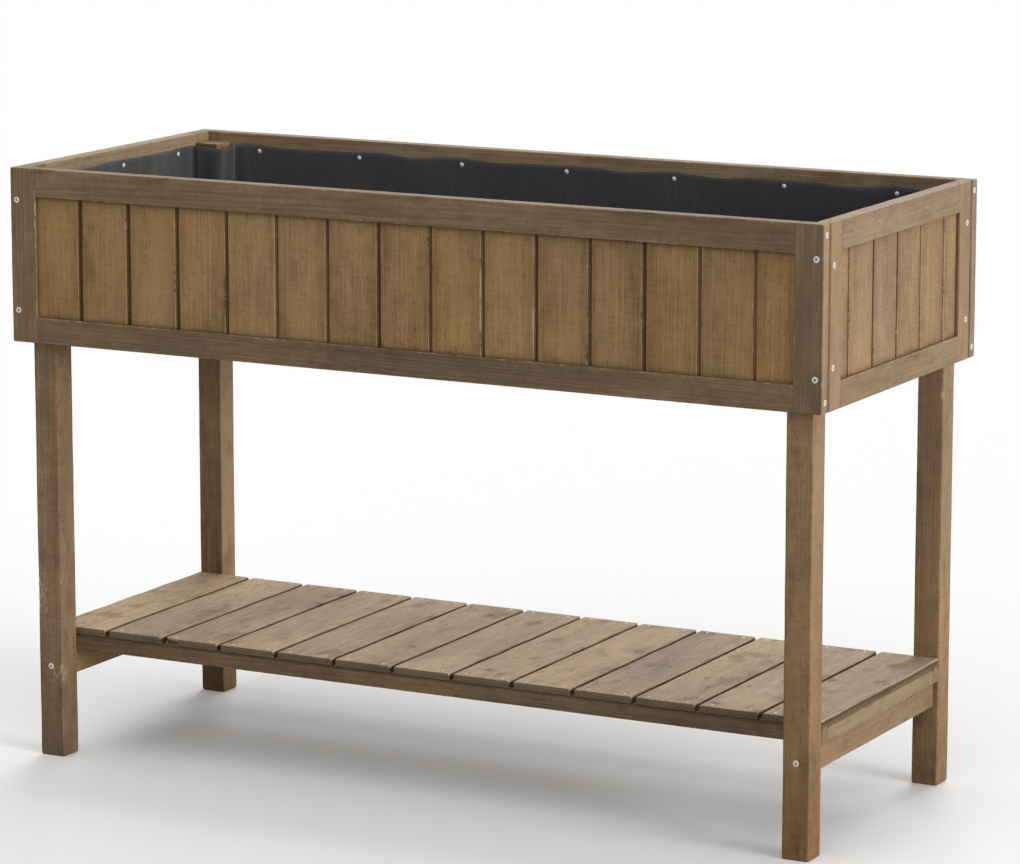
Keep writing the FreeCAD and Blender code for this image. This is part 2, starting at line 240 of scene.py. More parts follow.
def set_stops(ramp, stops):
    """Put (position, colour) stops on a colour ramp."""
    while len(ramp.elements) < len(stops):
        ramp.elements.new(0.5)
    for element, (position, shade) in zip(ramp.elements, stops):
        element.position = position
        element.color = shade


def opaque(shade, level=1.0):
    """Colour with an alpha of 1, at a level."""
    return (*[min(1.0, channel * level) for channel in shade], 1.0)


def start_material(name):
    """New material with an empty node tree, and a wire to build it with."""
    material = bpy.data.materials.new(name)
    material.use_nodes = True
    material.node_tree.nodes.clear()
    return material, Wire(material.node_tree)


def close_material(blank, relief, strength, distance, sockets):
    """Add the surface shader, bumped by a relief, and the output."""
    bump = {"Strength": strength, "Distance": distance, "Height": relief}
    normal = blank.node("ShaderNodeBump", None, bump)
    surface = blank.node("ShaderNodeBsdfPrincipled", None, {**sockets, "Normal": normal})
    surface.show("ShaderNodeOutputMaterial")


class Grain(NamedTuple):
    """How strongly a kind of timber shows each mark of its growth, its stain and its use."""

    rings: float
    fibres: float
    knots: float
    specks: float
    scuffs: float
    smudges: float
    edges: float
    sawn: float
    ends: float
    roughness: float


GRAINS = {
    "board_wood": Grain(0.06, 0.36, 0.01, 0.42, 0.05, 0.16, 0.42, 0.20, 0.70, 0.74),
    "frame_wood": Grain(0.08, 0.34, 0.05, 0.30, 0.08, 0.26, 0.22, 0.11, 0.92, 0.72),
    "leg_wood": Grain(0.07, 0.26, 0.015, 0.45, 0.16, 0.34, 0.08, 0.17, 0.70, 0.70),
    "shelf_wood": Grain(0.10, 0.48, 0.30, 0.60, 0.24, 0.66, 0.05, 0.09, 0.22, 0.78),
    "floor_wood": Grain(0.22, 0.36, 0.16, 0.25, 0.00, 0.20, 0.00, 0.10, 0.80, 0.82),
}


class Noise(NamedTuple):
    """Noise in the wood: how fast it changes across and along a timber, per metre, and how fine it is."""

    across: float
    along: float
    detail: float
    roughness: float = 0.5


WOOD_NOISE = {
    "ragged": Noise(160, 160, 3.0),
    "sway": Noise(10, 1.7, 2.0),
    "shiver": Noise(60, 7, 2.0),
    "strands": Noise(300, 7, 5.0, 0.72),
    "saw": Noise(46, 330, 3.0, 0.62),
    "hairs": Noise(1500, 34, 2.0, 0.6),
    "blotch": Noise(15, 4.5, 3.0),
    "mottle": Noise(75, 36, 3.0, 0.6),
    "cloud": Noise(5, 2.2, 1.0),
    "flecks": Noise(620, 110, 0.0),
    "smudge": Noise(34, 20, 3.0),
    "bruise": Noise(48, 22, 6.0, 0.68),
    "scuff": Noise(52, 9, 4.0, 0.6),
    "edge": Noise(240, 24, 3.0),
    "nicks": Noise(420, 110, 3.0, 0.62),
}

# Ramp of the stain: place on the ramp, and share of each channel of the stain
STAIN_RAMP = (
    (0.0, (0.34, 0.31, 0.29)),
    (0.28, (0.66, 0.64, 0.62)),
    (0.5, (1.0, 1.0, 1.0)),
    (1.0, (1.72, 1.74, 1.80)),
)

# What smudges, bruises, and dirt with painted shade multiply the colour by, and the colour of tarnish
SMUDGE_TINT = (0.36, 0.28, 0.21)
BRUISE_TINT = (0.50, 0.43, 0.37)
DIRT_AND_SHADE_TINT = (0.20, 0.17, 0.15)
TARNISH_TINT = (0.30, 0.24, 0.18)


def knots(blank, place, ragged, share):
    """Hearts and halos of knots: ragged spots in a share of the cells of a Voronoi pattern.

    The girth of a knot is a share of the spacing of the cells.
    """
    spacing = bpy.context.scene.bed_sizes.knot_spacing
    across = blank.node("ShaderNodeSeparateXYZ", None, {0: place}, "X")
    spot = blank.node("ShaderNodeCombineXYZ", None, {0: across / spacing, 1: across.other("Z") / spacing})
    near = blank.node("ShaderNodeTexVoronoi", {"voronoi_dimensions": "2D"},
                      {"Vector": spot, "Scale": 1.0, "Randomness": 0.85}, "Distance")
    chance = blank.node("ShaderNodeSeparateColor", None, {0: near.other("Color")}, "Red")
    grows = chance.math("LESS_THAN", share)
    girth = 0.035 + 0.055 * chance.other("Green")
    reach = near / girth + 0.9 * (ragged - 0.5)
    return grows * (1 - reach.rise(0.75, 1.0)), grows * (1 - reach.rise(0.6, 3.4))


def late_wood(blank, place, noise, halo):
    """Late wood of the growth rings: a slow rise and sharp fall over each ring pitch of a distance.

    The distance is that from the pith. It leans along the timber, is swayed by noise and is pushed aside by
    the halos of knots.
    """
    across = blank.node("ShaderNodeSeparateXYZ", None, {0: place}, "X")
    depth = across.other("Y")
    radius = (across * across + depth * depth).math("SQRT") + 0.011 * across.other("Z")
    radius = radius + 0.016 * noise["sway"] + 0.0022 * noise["shiver"] + 0.012 * halo
    turn = (radius / bpy.context.scene.bed_sizes.ring_pitch).math("FRACT")
    return turn.rise(0.25, 0.88) * (1 - turn.rise(0.9, 1.0))


def stained(blank, noise, late, tone, stain, grain):
    """Stain that is lighter and darker with the tone, the rings, and noise for fibres, saw and blotches."""
    weights = {"strands": 1.7 * grain.fibres, "hairs": 0.8 * grain.fibres, "saw": 1.5 * grain.sawn,
               "blotch": 0.54, "cloud": 0.42, "mottle": 0.32}
    value = 0.5 + 0.8 * (tone - 0.5) - grain.rings * (late - 0.3)
    value = sum((weight * (noise[label] - 0.5) for label, weight in weights.items()), value)
    stops = [(place, opaque(np.multiply(stain, share))) for place, share in STAIN_RAMP]
    shade = blank.node("ShaderNodeValToRGB", {"stops": stops}, {0: value})
    vivid = 0.68 + 0.62 * tone.other("Green") + 0.2 * (noise["cloud"] - 0.5)
    return blank.node("ShaderNodeHueSaturation", None, {"Saturation": vivid, "Color": shade})


def make_wood(name, stain, grain):
    """Stained softwood that follows the length of each timber.

    The grain attribute is (across, depth, along) in metres, measured from the pith. The look attribute is
    (tone, warmth, wear, end grain), and the dirt attribute darkens corners, joints, gaps and seams:
    dirt, and painted shade where those hollows would be shaded. Wear shows raw wood where it and fine nicks
    together pass a limit.
    """
    colours = bpy.context.scene.bed_colours
    material, blank = start_material(name)
    place = blank.node("ShaderNodeAttribute", {"attribute_name": "grain"}, None, "Vector")
    look = blank.node("ShaderNodeAttribute", {"attribute_name": "look"}, None, "Color")
    dirt = blank.node("ShaderNodeAttribute", {"attribute_name": "dirt"}, None, "Fac")
    tone = blank.node("ShaderNodeSeparateColor", None, {0: look}, "Red")
    wear = tone.other("Blue")
    noise = {label: place.stretch(row.across, row.across, row.along).noise(row.detail, row.roughness)
             for label, row in WOOD_NOISE.items()}
    heart, halo = knots(blank, place, noise["ragged"], grain.knots)
    late = late_wood(blank, place, noise, halo)
    shade = stained(blank, noise, late, tone, stain, grain)

    flecks = noise["flecks"].rise(0.70, 0.78)
    shade = (grain.specks * flecks).mix(shade, opaque(stain, 0.32))
    smudge = noise["smudge"].rise(0.52, 0.74)
    shade = (grain.smudges * smudge).mix(shade, opaque(SMUDGE_TINT), "MULTIPLY")
    bruise = noise["bruise"].rise(0.63, 0.68)
    shade = (1.3 * grain.smudges * bruise).mix(shade, opaque(BRUISE_TINT), "MULTIPLY")
    scuff = noise["scuff"].rise(0.56, 0.70) * noise["strands"].rise(0.42, 0.62)
    shade = (grain.scuffs * scuff).mix(shade, opaque(colours.raw_wood, 0.86))
    shade = (0.55 * halo).mix(shade, opaque(stain, 0.55))
    shade = (0.8 * heart).mix(shade, opaque(colours.knot))

    rubbed = wear.rise(0.05, 0.3)
    edge = rubbed * noise["edge"].rise(0.40, 0.62)
    shade = (grain.edges * edge).mix(shade, opaque(colours.raw_wood, 0.9))
    bare = rubbed * (wear + 3.6 * (noise["nicks"] - 0.5)).rise(0.62, 0.74)
    shade = (bare * (0.62 + 0.38 * wear.rise(0.9, 1.3))).mix(shade, opaque(colours.raw_wood))
    sawn_end = late.mix(opaque(stain, 1.12 * grain.ends), opaque(stain, 0.76 * grain.ends))
    shade = (0.8 * look.other("Alpha")).mix(shade, sawn_end)
    # Dirt and painted shade: corners, joints, gaps and seams darkened where they would be shaded
    shade = (0.80 * dirt).mix(shade, opaque(DIRT_AND_SHADE_TINT), "MULTIPLY")

    relief = 0.8 * noise["strands"] + 0.5 * noise["hairs"] + 1.2 * grain.sawn * noise["saw"]
    relief = relief - 0.5 * grain.rings * late - 0.35 * flecks + 0.5 * heart
    rough = grain.roughness + 0.25 * (noise["strands"] - 0.5) - 0.10 * late + 0.08 * bare
    close_material(blank, relief, 0.55, 0.9 * MM,
                   {"Base Color": shade, "Roughness": rough, "Specular IOR Level": 0.2})
    return material


CLOTH_DOT_PITCH = 2.6 * MM


def make_cloth(name, black):
    """Spun-bonded cloth: a staggered lattice of pressed dots over a felt of fine fibres.

    The lattice is the product of two crossed sines of the flat cut's own coordinates.
    """
    material, blank = start_material(name)
    flat = blank.node("ShaderNodeUVMap", {"uv_map": "cut"})
    run = blank.node("ShaderNodeSeparateXYZ", None, {0: flat}, "X")
    rise = run.other("Y")
    pitch = 2 * math.pi / CLOTH_DOT_PITCH
    dots = ((run + rise) * pitch).math("SINE") * ((run - rise) * pitch).math("SINE")
    pressed = dots.rise(0.25, 0.6)
    felt = flat.stretch(1200, 1200, 1).noise(4.0, 0.7)
    streaks = flat.stretch(180, 60, 1).noise(3.0)
    worn = flat.stretch(9, 9, 1).noise(3.0)
    value = 0.45 + 0.9 * (felt - 0.5) + 0.5 * (streaks - 0.5) + 0.7 * (worn - 0.5) - 0.16 * pressed
    stops = [(0.0, opaque(black, 0.45)), (0.5, opaque(black)), (1.0, opaque(black, 2.6))]
    shade = blank.node("ShaderNodeValToRGB", {"stops": stops}, {0: value})
    rough = 0.86 - 0.22 * pressed + 0.2 * (felt - 0.5)
    close_material(blank, 0.5 * felt + 0.3 * streaks - 0.7 * pressed, 0.6, 0.35 * MM,
                   {"Base Color": shade, "Roughness": rough, "Specular IOR Level": 0.3,
                    "Sheen Weight": 0.25, "Sheen Roughness": 0.6})
    return material


# Roughness, spots of tarnish and metallic share of each metal
METALS = {"zinc": (0.34, 0.35, 0.1), "nail_steel": (0.44, 0.6, 0.3)}


def make_metal(name, shade, roughness, spotted, metallic):
    """Weathered metal: noise at two scales clouds the colour and the gloss, and tarnish spots dull it.

    metallic is how much of the surface still shines as bare metal.
    """
    material, blank = start_material(name)
    place = blank.node("ShaderNodeTexCoord", None, None, "Object")
    cloud = place.noise(3.0, 0.6, 260.0)
    scratch = place.stretch(2600, 500, 900).noise(2.0)
    tarnish = place.noise(4.0, 0.65, 620.0).rise(0.56, 0.72) * spotted
    tint = (0.9 * (cloud - 0.2)).mix(opaque(shade, 0.72), opaque(shade, 1.12))
    tint = tarnish.mix(tint, opaque(TARNISH_TINT))
    rough = roughness + 0.3 * (cloud - 0.5) + 0.15 * (scratch - 0.5) + 0.3 * tarnish
    close_material(blank, scratch + 0.6 * cloud, 0.25, 0.08 * MM,
                   {"Base Color": tint, "Metallic": metallic * (1 - 0.6 * tarnish), "Roughness": rough})
    return material


SLOT_COLOURS = {
    "board_wood": "board_stain", "frame_wood": "frame_stain", "leg_wood": "leg_stain",
    "shelf_wood": "shelf_stain", "floor_wood": "floor_wood", "liner_fabric": "liner", "zinc": "zinc",
    "nail_steel": "steel",
}


def finish(slot):
    """Material for a record slot, made when it is first asked for."""
    name = f"bed_{slot}"
    if name in bpy.data.materials:
        return bpy.data.materials[name]
    shade = tuple(getattr(bpy.context.scene.bed_colours, SLOT_COLOURS[slot]))
    if slot in GRAINS:
        return make_wood(name, shade, GRAINS[slot])
    if slot in METALS:
        return make_metal(name, shade, *METALS[slot])
    return make_cloth(name, shade)


class Shell(NamedTuple):
    """Closed surface: vertices, four-sided faces, end caps, and values at the vertices by name."""

    points: np.ndarray
    quads: np.ndarray
    caps: list
    values: dict


KINDS = {1: ("FLOAT", "value"), 3: ("FLOAT_VECTOR", "vector"), 4: ("FLOAT_COLOR", "color")}
SHARP_ANGLE = math.radians(40)


def outward(shell):
    """Shell with its faces turned outwards, by the sign of the volume that they enclose."""
    quads, caps = shell.quads, shell.caps
    triangles = [quads[:, [0, 1, 2]], quads[:, [0, 2, 3]]]
    triangles += [np.stack([np.full(len(cap) - 2, cap[0]), cap[1:-1], cap[2:]], axis=1) for cap in caps]
    first, second, third = shell.points[np.concatenate(triangles)].transpose(1, 0, 2)
    if np.sum(first * np.cross(second, third)) < 0:
        return shell._replace(quads=quads[:, ::-1], caps=[cap[::-1] for cap in caps])
    return shell


def hand_over(name, mesh, slot, *nodes):
    """Object for a mesh, that stands for CAD nodes and takes its finish from a slot."""
    piece = bpy.data.objects.new(name, mesh)
    bpy.context.scene.collection.objects.link(piece)
    mesh.materials.append(finish(slot))
    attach(piece, "root")
    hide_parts(*nodes)
    return piece


def put_piece(name, shells, slot, node):
    """Join shells into the mesh of one piece."""
    starts = np.cumsum([0] + [len(shell.points) for shell in shells])
    points = np.concatenate([shell.points for shell in shells])
    quads = np.concatenate([shell.quads + start for shell, start in zip(shells, starts)])
    caps = [cap + start for shell, start in zip(shells, starts) for cap in shell.caps]
    loops = np.concatenate([quads.ravel(), *caps]).astype(np.int32)
    totals = np.array([4] * len(quads) + [len(cap) for cap in caps])
    mesh = bpy.data.meshes.new(name)
    mesh.vertices.add(len(points))
    mesh.vertices.foreach_set("co", points.astype(np.float32).ravel())
    mesh.loops.add(len(loops))
    mesh.loops.foreach_set("vertex_index", loops)
    mesh.polygons.add(len(totals))
    mesh.polygons.foreach_set("loop_start", (np.cumsum(totals) - totals).astype(np.int32))
    mesh.update(calc_edges=True)
    mesh.validate()
    for label in shells[0].values:
        values = np.concatenate([shell.values[label] for shell in shells])
        kind, field = KINDS[1 if values.ndim == 1 else values.shape[1]]
        attribute = mesh.attributes.new(label, kind, "POINT")
        attribute.data.foreach_set(field, values.astype(np.float32).ravel())
    mesh.set_sharp_from_angle(angle=SHARP_ANGLE)
    hand_over(name, mesh, slot, node)


def closed(index):
    """Grid of vertex numbers with its first column again after its last."""
    return np.hstack([index, index[:, :1]])


def grid_faces(index):
    """Four-sided faces between neighbours in a grid of vertex numbers."""
    return np.stack([index[:-1, :-1], index[:-1, 1:], index[1:, 1:], index[1:, :-1]], axis=-1).reshape(-1, 4)


def tube_faces(rings, around):
    """Four-sided faces between rings of points, closed around, and the caps of the first and last ring."""
    index = np.arange(rings * around).reshape(rings, around)
    return grid_faces(closed(index)), [index[0][::-1], index[-1]]


class Cut(NamedTuple):
    """How a kind of timber is cut and worn: lengths in metres, chips per metre of arris."""

    round: float
    step: float
    chips: float
    chip_depth: float
    torn: float
    limit: float
    ends: float
    flat: float
    rubbed: float = 0.3


LEG_CUT = Cut(1.7 * MM, 3.0 * MM, 0.4, 2.2 * MM, 0.4 * MM, 8.0 * MM, 1.6 * MM, 0.6 * MM, 0.17)
FRAME_CUT = Cut(1.0 * MM, 2.0 * MM, 0.2, 1.6 * MM, 0.5 * MM, 4.2 * MM, 1.0 * MM, 0.4 * MM)
BOARD_CUT = Cut(0.8 * MM, 2.0 * MM, 1.3, 1.4 * MM, 1.1 * MM, 1.95 * MM, 0.2 * MM, 0.2 * MM)
SLAT_CUT = Cut(0.8 * MM, 2.5 * MM, 0.8, 1.8 * MM, 0.5 * MM, 3.4 * MM, 0.7 * MM, 0.4 * MM)
BAR_CUT = Cut(1.0 * MM, 4.0 * MM, 1.0, 2.6 * MM, 0.4 * MM, 5.0 * MM, 1.0 * MM, 0.4 * MM)
TENON_CUT = Cut(0.3 * MM, 2.0 * MM, 0.0, 0.1 * MM, 0.0, 0.5 * MM, 0.2 * MM, 0.2 * MM)
FLOOR_CUT = Cut(0.8 * MM, 5.0 * MM, 2.0, 2.0 * MM, 0.5 * MM, 4.0 * MM, 0.5 * MM, 0.3 * MM)

# The same timbers where their ends butt against another timber, or against their own next length
BUTT_ROUND = 0.3 * MM
RAIL_CUT = FRAME_CUT._replace(ends=BUTT_ROUND)
STRETCHER_CUT = BAR_CUT._replace(ends=BUTT_ROUND)
JOINED_FLOOR_CUT = FLOOR_CUT._replace(ends=0.01 * MM, flat=0.01 * MM)

# Lengths over which arrises change and grime with painted shade gathers, and how deep rubbed places and seams
# are; and how dark the painted shade along a seam is
PLAIN_ROUND = 0.15 * MM
ARRIS_WANDER = 45 * MM
TORN_RUN = 24 * MM
FRESH_DEPTH = 1.3 * MM
END_FLARE = 2.5 * MM
GRIME_AND_SHADE_REACH = 3.5 * MM
RUB_DEPTH = 2.0 * MM
SEAM_EASE = 2.0 * MM
SEAM_SHADE = 0.8

# How far the pith is from the middle of a timber, and the length of trunk that timbers are cut from
PITH_REACH = (45 * MM, 130 * MM)
TRUNK_LENGTH = 40.0

# Points of a rounded corner: one on the flat before it, four on the arc, one on the flat after it
ARC = np.radians([0.0, 30.0, 60.0, 90.0])
BACK = np.concatenate([[1.0], 1 - np.sin(ARC), [0.0]])
AHEAD = np.concatenate([[0.0], 1 - np.cos(ARC), [1.0]])
FLAT_BACK = np.eye(6)[0]
FLAT_AHEAD = np.eye(6)[5]
ON_ARC = np.array([0.0, 1.0, 1.0, 1.0, 1.0, 0.0])
PLAIN_KEEP = np.array([False, True, False, False, True, False])


class Rub(NamedTuple):
    """Place where a corner is rubbed bare: its corner, middle, spread and strength, and if the flats are."""

    corner: int
    middle: float
    spread: float
    strength: float
    flats: bool = False


def seeded(name):
    """Random numbers that are the same for a name on each run."""
    return np.random.default_rng(zlib.crc32(name.encode()))


def wander(places, count, spacing, rng):
    """Smooth random lines from 0 to 1: even random values, eased from each to the next."""
    reach = (places - places.min()) / spacing
    values = rng.random((int(reach.max()) + 2, count))
    low = reach.astype(int)
    ease = (reach - low)[:, None]
    ease = ease * ease * (3 - 2 * ease)
    return values[low] * (1 - ease) + values[low + 1] * ease


def arris_radius(places, cut, torn, rng):
    """Radius of each arris at each station along a timber, how fresh the wood is there, and how torn.

    The radius is a base that wanders by a third, plus torn runs, where a slow line lets a random step
    through, plus chips: half ellipses of random place, length and depth, each on one corner.
    """
    count = len(torn)
    low, high = places.min(), places.max()
    base = cut.round * (0.7 + 0.6 * wander(places, count, ARRIS_WANDER, rng))
    runs = np.clip(3 * wander(places, count, TORN_RUN, rng) - 1.5, 0, 1)
    ragged = cut.torn * torn * runs * rng.random((len(places), count))
    number = rng.poisson(cut.chips * (high - low) * count)
    centre = rng.uniform(low, high, number)
    half = bpy.context.scene.bed_sizes.chip_length * rng.uniform(0.2, 1, number)
    deep = cut.chip_depth * rng.uniform(0.2, 1, number) ** 1.6
    hollow = deep * np.sqrt(np.clip(1 - ((places[:, None] - centre) / half) ** 2, 0, 1))
    owner = np.eye(count)[rng.integers(0, count, number)]
    chips = (hollow[:, :, None] * owner).max(axis=1, initial=0)
    chips = chips * (0.7 + 0.5 * rng.random(chips.shape))
    radius = np.clip(base + ragged + chips, PLAIN_ROUND, cut.limit)
    return radius, np.clip((0.4 * ragged + chips) / FRESH_DEPTH, 0, 1), np.clip(ragged / MM, 0, 1)


def stations(along, cut):
    """Places along a timber, and how far its outline is drawn in at each: a quarter round at both ends."""
    low, high = along
    depth = cut.ends * (1 - np.sin(ARC[::-1]))
    drawn = cut.ends * (1 - np.cos(ARC[::-1]))
    margin = cut.ends + cut.flat
    count = max(3, round((high - low - 2 * margin) / cut.step) + 1)
    between = np.linspace(low + margin, high - margin, count)
    places = np.concatenate([[low], low + depth, between, high - depth[::-1], [high]])
    inset = np.concatenate([[margin], drawn, np.zeros(count), drawn[::-1], [margin]])
    return places, inset


def rounded_rings(corners, worn, radius, inset, flat):
    """Ring of points round a timber at each station, and which points of the corners are in it.

    A corner between an arriving and a leaving direction becomes the arc
    corner - r (1 - sin t) arriving + r (1 - cos t) leaving, for t from 0 to 90 degrees, with one more
    point beyond each end of the arc that keeps the flats flat. Corners that aren't worn keep a fine
    chamfer. The whole ring is drawn in by its inset.
    """
    leaving = np.roll(corners, -1, axis=0) - corners
    leaving = leaving / np.linalg.norm(leaving, axis=1)[:, None]
    arriving = np.roll(leaving, 1, axis=0)
    inward = np.stack([-leaving[:, 1] - arriving[:, 1], leaving[:, 0] + arriving[:, 0]], axis=1)
    inward = inward / (1 + np.sum(arriving * leaving, axis=1))[:, None]
    drawn = corners + inset[:, None, None] * inward
    back = radius[:, :, None] * BACK + flat * FLAT_BACK
    ahead = radius[:, :, None] * AHEAD + flat * FLAT_AHEAD
    rings = drawn[:, :, None] - back[..., None] * arriving[:, None] + ahead[..., None] * leaving[:, None]
    keep = np.where(worn[:, None], True, PLAIN_KEEP).ravel()
    return rings.reshape(len(inset), -1, 2)[:, keep], keep


def timber(axes, outline, along, cut, rng, tone, warmth=0.5, worn=True, dirt=0.0, torn=1.0, sunk=0.0,
           rubs=(), seam=()):
    """One timber: an outline of square corners carried along its length, with the look of each point.

    axes are the directions across, deep and along. The radius of each corner changes along the timber, and
    the outline is drawn in at both ends. worn, dirt and torn are one for the timber or one for each
    corner, and tone is one for the timber or one for each face, from each corner to the next. dirt
    darkens corners as dirt and painted shade, and torn arrises darken too. sunk says how much of each end is
    inside another timber, toward which the timber darkens with grime and painted shade. seam lists the
    corners that lie along a joint, where the arc is wider and darkened as painted shade.
    """
    corners = np.asarray(outline, float)
    count = len(corners)
    worn, dirt, torn, face = (np.broadcast_to(each, count) for each in (worn, dirt, torn, tone))
    places, inset = stations(along, cut)
    radius, fresh, notched = arris_radius(places, cut, torn, rng)
    from_end = np.minimum(places - along[0], along[1] - places)
    radius = radius + (cut.ends * np.exp(-from_end / END_FLARE))[:, None]
    bares = [rub.strength * np.exp(-((places - rub.middle) / rub.spread) ** 2) for rub in rubs]
    for rub, bare in zip(rubs, bares):
        radius[:, rub.corner] += RUB_DEPTH * bare * rng.random(len(places))
    radius[:, seam] += SEAM_EASE
    radius = np.where(worn, np.minimum(radius, cut.limit), PLAIN_ROUND)
    rings, keep = rounded_rings(corners, worn, radius, inset, cut.flat)
    stands = np.broadcast_to(places[:, None, None], (*rings.shape[:2], 1))
    local = np.concatenate([rings, stands], axis=2)

    swing = rng.uniform(0, 2 * math.pi)
    pith = rng.uniform(*PITH_REACH) * np.array([math.cos(swing), math.sin(swing)])
    shift = np.array([*(pith - corners.mean(axis=0)), rng.uniform(0, TRUNK_LENGTH) - along[0]])
    on_arc = ON_ARC * worn[:, None]
    wear = (cut.rubbed + 0.7 * fresh)[:, :, None] * on_arc
    for rub, bare in zip(rubs, bares):
        wear[:, rub.corner] += bare[:, None] * np.maximum(ON_ARC, rub.flats)
    wear[:, seam] = 0
    # Seams are darkened as painted shade; torn arrises darken too
    notched[:, seam] = SEAM_SHADE
    stain = dirt[:, None] + 0.8 * notched[:, :, None] * on_arc
    end = np.clip(inset / cut.ends, 0, 1)[:, None] ** 2
    look = np.empty((*rings.shape[:2], 4))
    look[..., 0] = np.stack([np.roll(face, 1)] * 3 + [face] * 3, axis=1).ravel()[keep]
    look[..., 1] = warmth
    look[..., 2] = wear.reshape(len(places), -1)[:, keep] * (1 - end)
    look[..., 3] = end
    # Toward an end sunk in another timber it darkens with grime and painted shade of the joint
    gathered = 0.75 * np.exp(-np.clip(from_end - sunk, 0, 1) / GRIME_AND_SHADE_REACH) * (sunk > 0)
    grime_and_shade = np.maximum(stain.reshape(len(places), -1)[:, keep] * (1 - 0.7 * end), gathered[:, None])
    quads, caps = tube_faces(*rings.shape[:2])
    return outward(Shell(local.reshape(-1, 3) @ np.array(axes), quads, caps, {
        "grain": (local + shift).reshape(-1, 3),
        "look": look.reshape(-1, 4),
        "dirt": grime_and_shade.reshape(-1),
    }))


def span(node, direction):
    """Low and high reach of a CAD node along an axis direction."""
    return np.sort(BOXES[node] @ direction)


def spans(node, axes):
    """Reach of a CAD node along each of three axes."""
    return [span(node, axis) for axis in axes]


def oblong(across, depth):
    """Corners of a plain section between two ranges."""
    return [(across[0], depth[0]), (across[1], depth[0]), (across[1], depth[1]), (across[0], depth[1])]


def bar(node, axes, cut, tone, warmth=0.5, rubs=(), seam=()):
    """Plain timber that fills the box of a CAD node."""
    across, depth, along = spans(node, axes)
    return timber(axes, oblong(across, depth), along, cut, seeded(node), tone, warmth, rubs=rubs, seam=seam)


# Warmth of each leg, and the tone of its front, right, rear and left face. The tones differ by face as
# painted light: the right faces, toward the key light, are as pale as the fronts or paler, and by far palest
# on the rear left leg, whose right face the box and the shelf shade.
LEG_TONES_WITH_PAINTED_LIGHT = {
    "front_left": (0.54, 0.45, 0.48, 0.36, 0.34),
    "front_right": (0.60, 0.52, 0.60, 0.46, 0.44),
    "rear_left": (0.50, 0.33, 0.88, 0.36, 0.34),
    "rear_right": (0.48, 0.52, 0.52, 0.46, 0.44),
}

# How much darker each leg is toward its foot, partly damp and partly painted shade, and just below the box,
# as painted shade of the box, and how much warmer its foot is
LEG_DAMP_AND_SHADE = {
    "front_left": (0.33, 0.15, -0.10),
    "front_right": (0.34, 0.02, 0.14),
    "rear_left": (0.50, 0.72, 0.20),
    "rear_right": (0.20, -0.08, 0.10),
}
LEG_RUBS = {"front_left": (Rub(0, 0.213, 0.036, 0.74, True), Rub(1, 0.107, 0.012, 0.62, True))}
DAMP_AND_SHADE_HEIGHT = 360 * MM
BOX_SHADE_DEPTH = 60 * MM


def weather_and_shade(leg, foot, brow, warmer):
    """Darken and warm a leg evenly toward its foot, partly damp and partly painted shade, and darken it by an
    exponential of the way to the box, as painted shade under the box.
    """
    height = leg.points[:, 2]
    damp_and_shade = np.clip(1 - height / DAMP_AND_SHADE_HEIGHT, 0, 1)
    below = span("front_bottom_rail", Z_AXIS)[0] - height
    # The foot darkens as damp and painted shade, the place below the box as painted shade
    leg.values["look"][:, 0] -= foot * damp_and_shade + brow * np.exp(-np.clip(below, 0, 1) / BOX_SHADE_DEPTH)
    leg.values["look"][:, 1] += warmer * damp_and_shade


class BED_OT_legs(bpy.types.Operator):
    """Square legs with worn arrises"""

    bl_idname = "bed.make_legs"
    bl_label = "Make Legs"

    def execute(self, context):
        """Carry a square section up each leg."""
        for corner, (warmth, *tones) in LEG_TONES_WITH_PAINTED_LIGHT.items():
            node = f"leg_{corner}"
            leg = bar(node, ALONG_Z, LEG_CUT, tones, warmth, LEG_RUBS.get(corner, ()))
            weather_and_shade(leg, *LEG_DAMP_AND_SHADE[corner])
            put_piece(f"{node}_timber", [leg], "leg_wood", node)
        return {"FINISHED"}


# Tone of the stiles, the bottom rail, the top rail and the boards of each panel
PANEL_TONES = {
    "front": (0.20, 0.19, 0.20, 0.475),
    "rear": (0.36, 0.30, 0.36, 0.42),
    "right_end": (0.57, 0.46, 0.50, 0.50),
    "left_end": (0.44, 0.38, 0.42, 0.44),
}
PANEL_TONE_SPREAD = (-0.04, 0.04)
FRAME_WARMTH = (0.40, 0.55)
FRAME_RUBS = {"front_left_stile": (Rub(1, 0.69, 0.035, 0.36),)}

# The outer edge of a stile is the face from its last corner to its first, paler on the two right-hand stiles
# as painted light where the key light falls on them
OUTER_FACE = np.eye(8)[7]
EDGE_PAINTED_LIGHT = {"front_right_stile": 0.40, "rear_right_stile": 0.22}


def panel_axes(turn):
    """Directions along and into a panel that is turned about the vertical from facing the front."""
    angle = math.radians(turn)
    run = np.round([math.cos(angle), math.sin(angle), 0.0])
    return run, np.round([-math.sin(angle), math.cos(angle), 0.0])


def grooved_outline(across, depth):
    """Section of a frame timber with a groove for the boards in its high edge."""
    low, high = across
    outer, inner = depth
    mouth = outer + FACE_RECESS - BOARD_FIT
    back = outer + FACE_RECESS + BOARD_THICKNESS + BOARD_FIT
    floor = high - GROOVE_DEPTH
    outline = [(low, outer), (high, outer), (high, mouth), (floor, mouth), (floor, back), (high, back),
               (high, inner), (low, inner)]
    worn = [True, True, False, False, False, False, True, True]
    # The groove's corners darken with dirt and painted shade
    dirt = [0, 0, 1, 1, 1, 1, 0, 0]
    return outline, worn, dirt


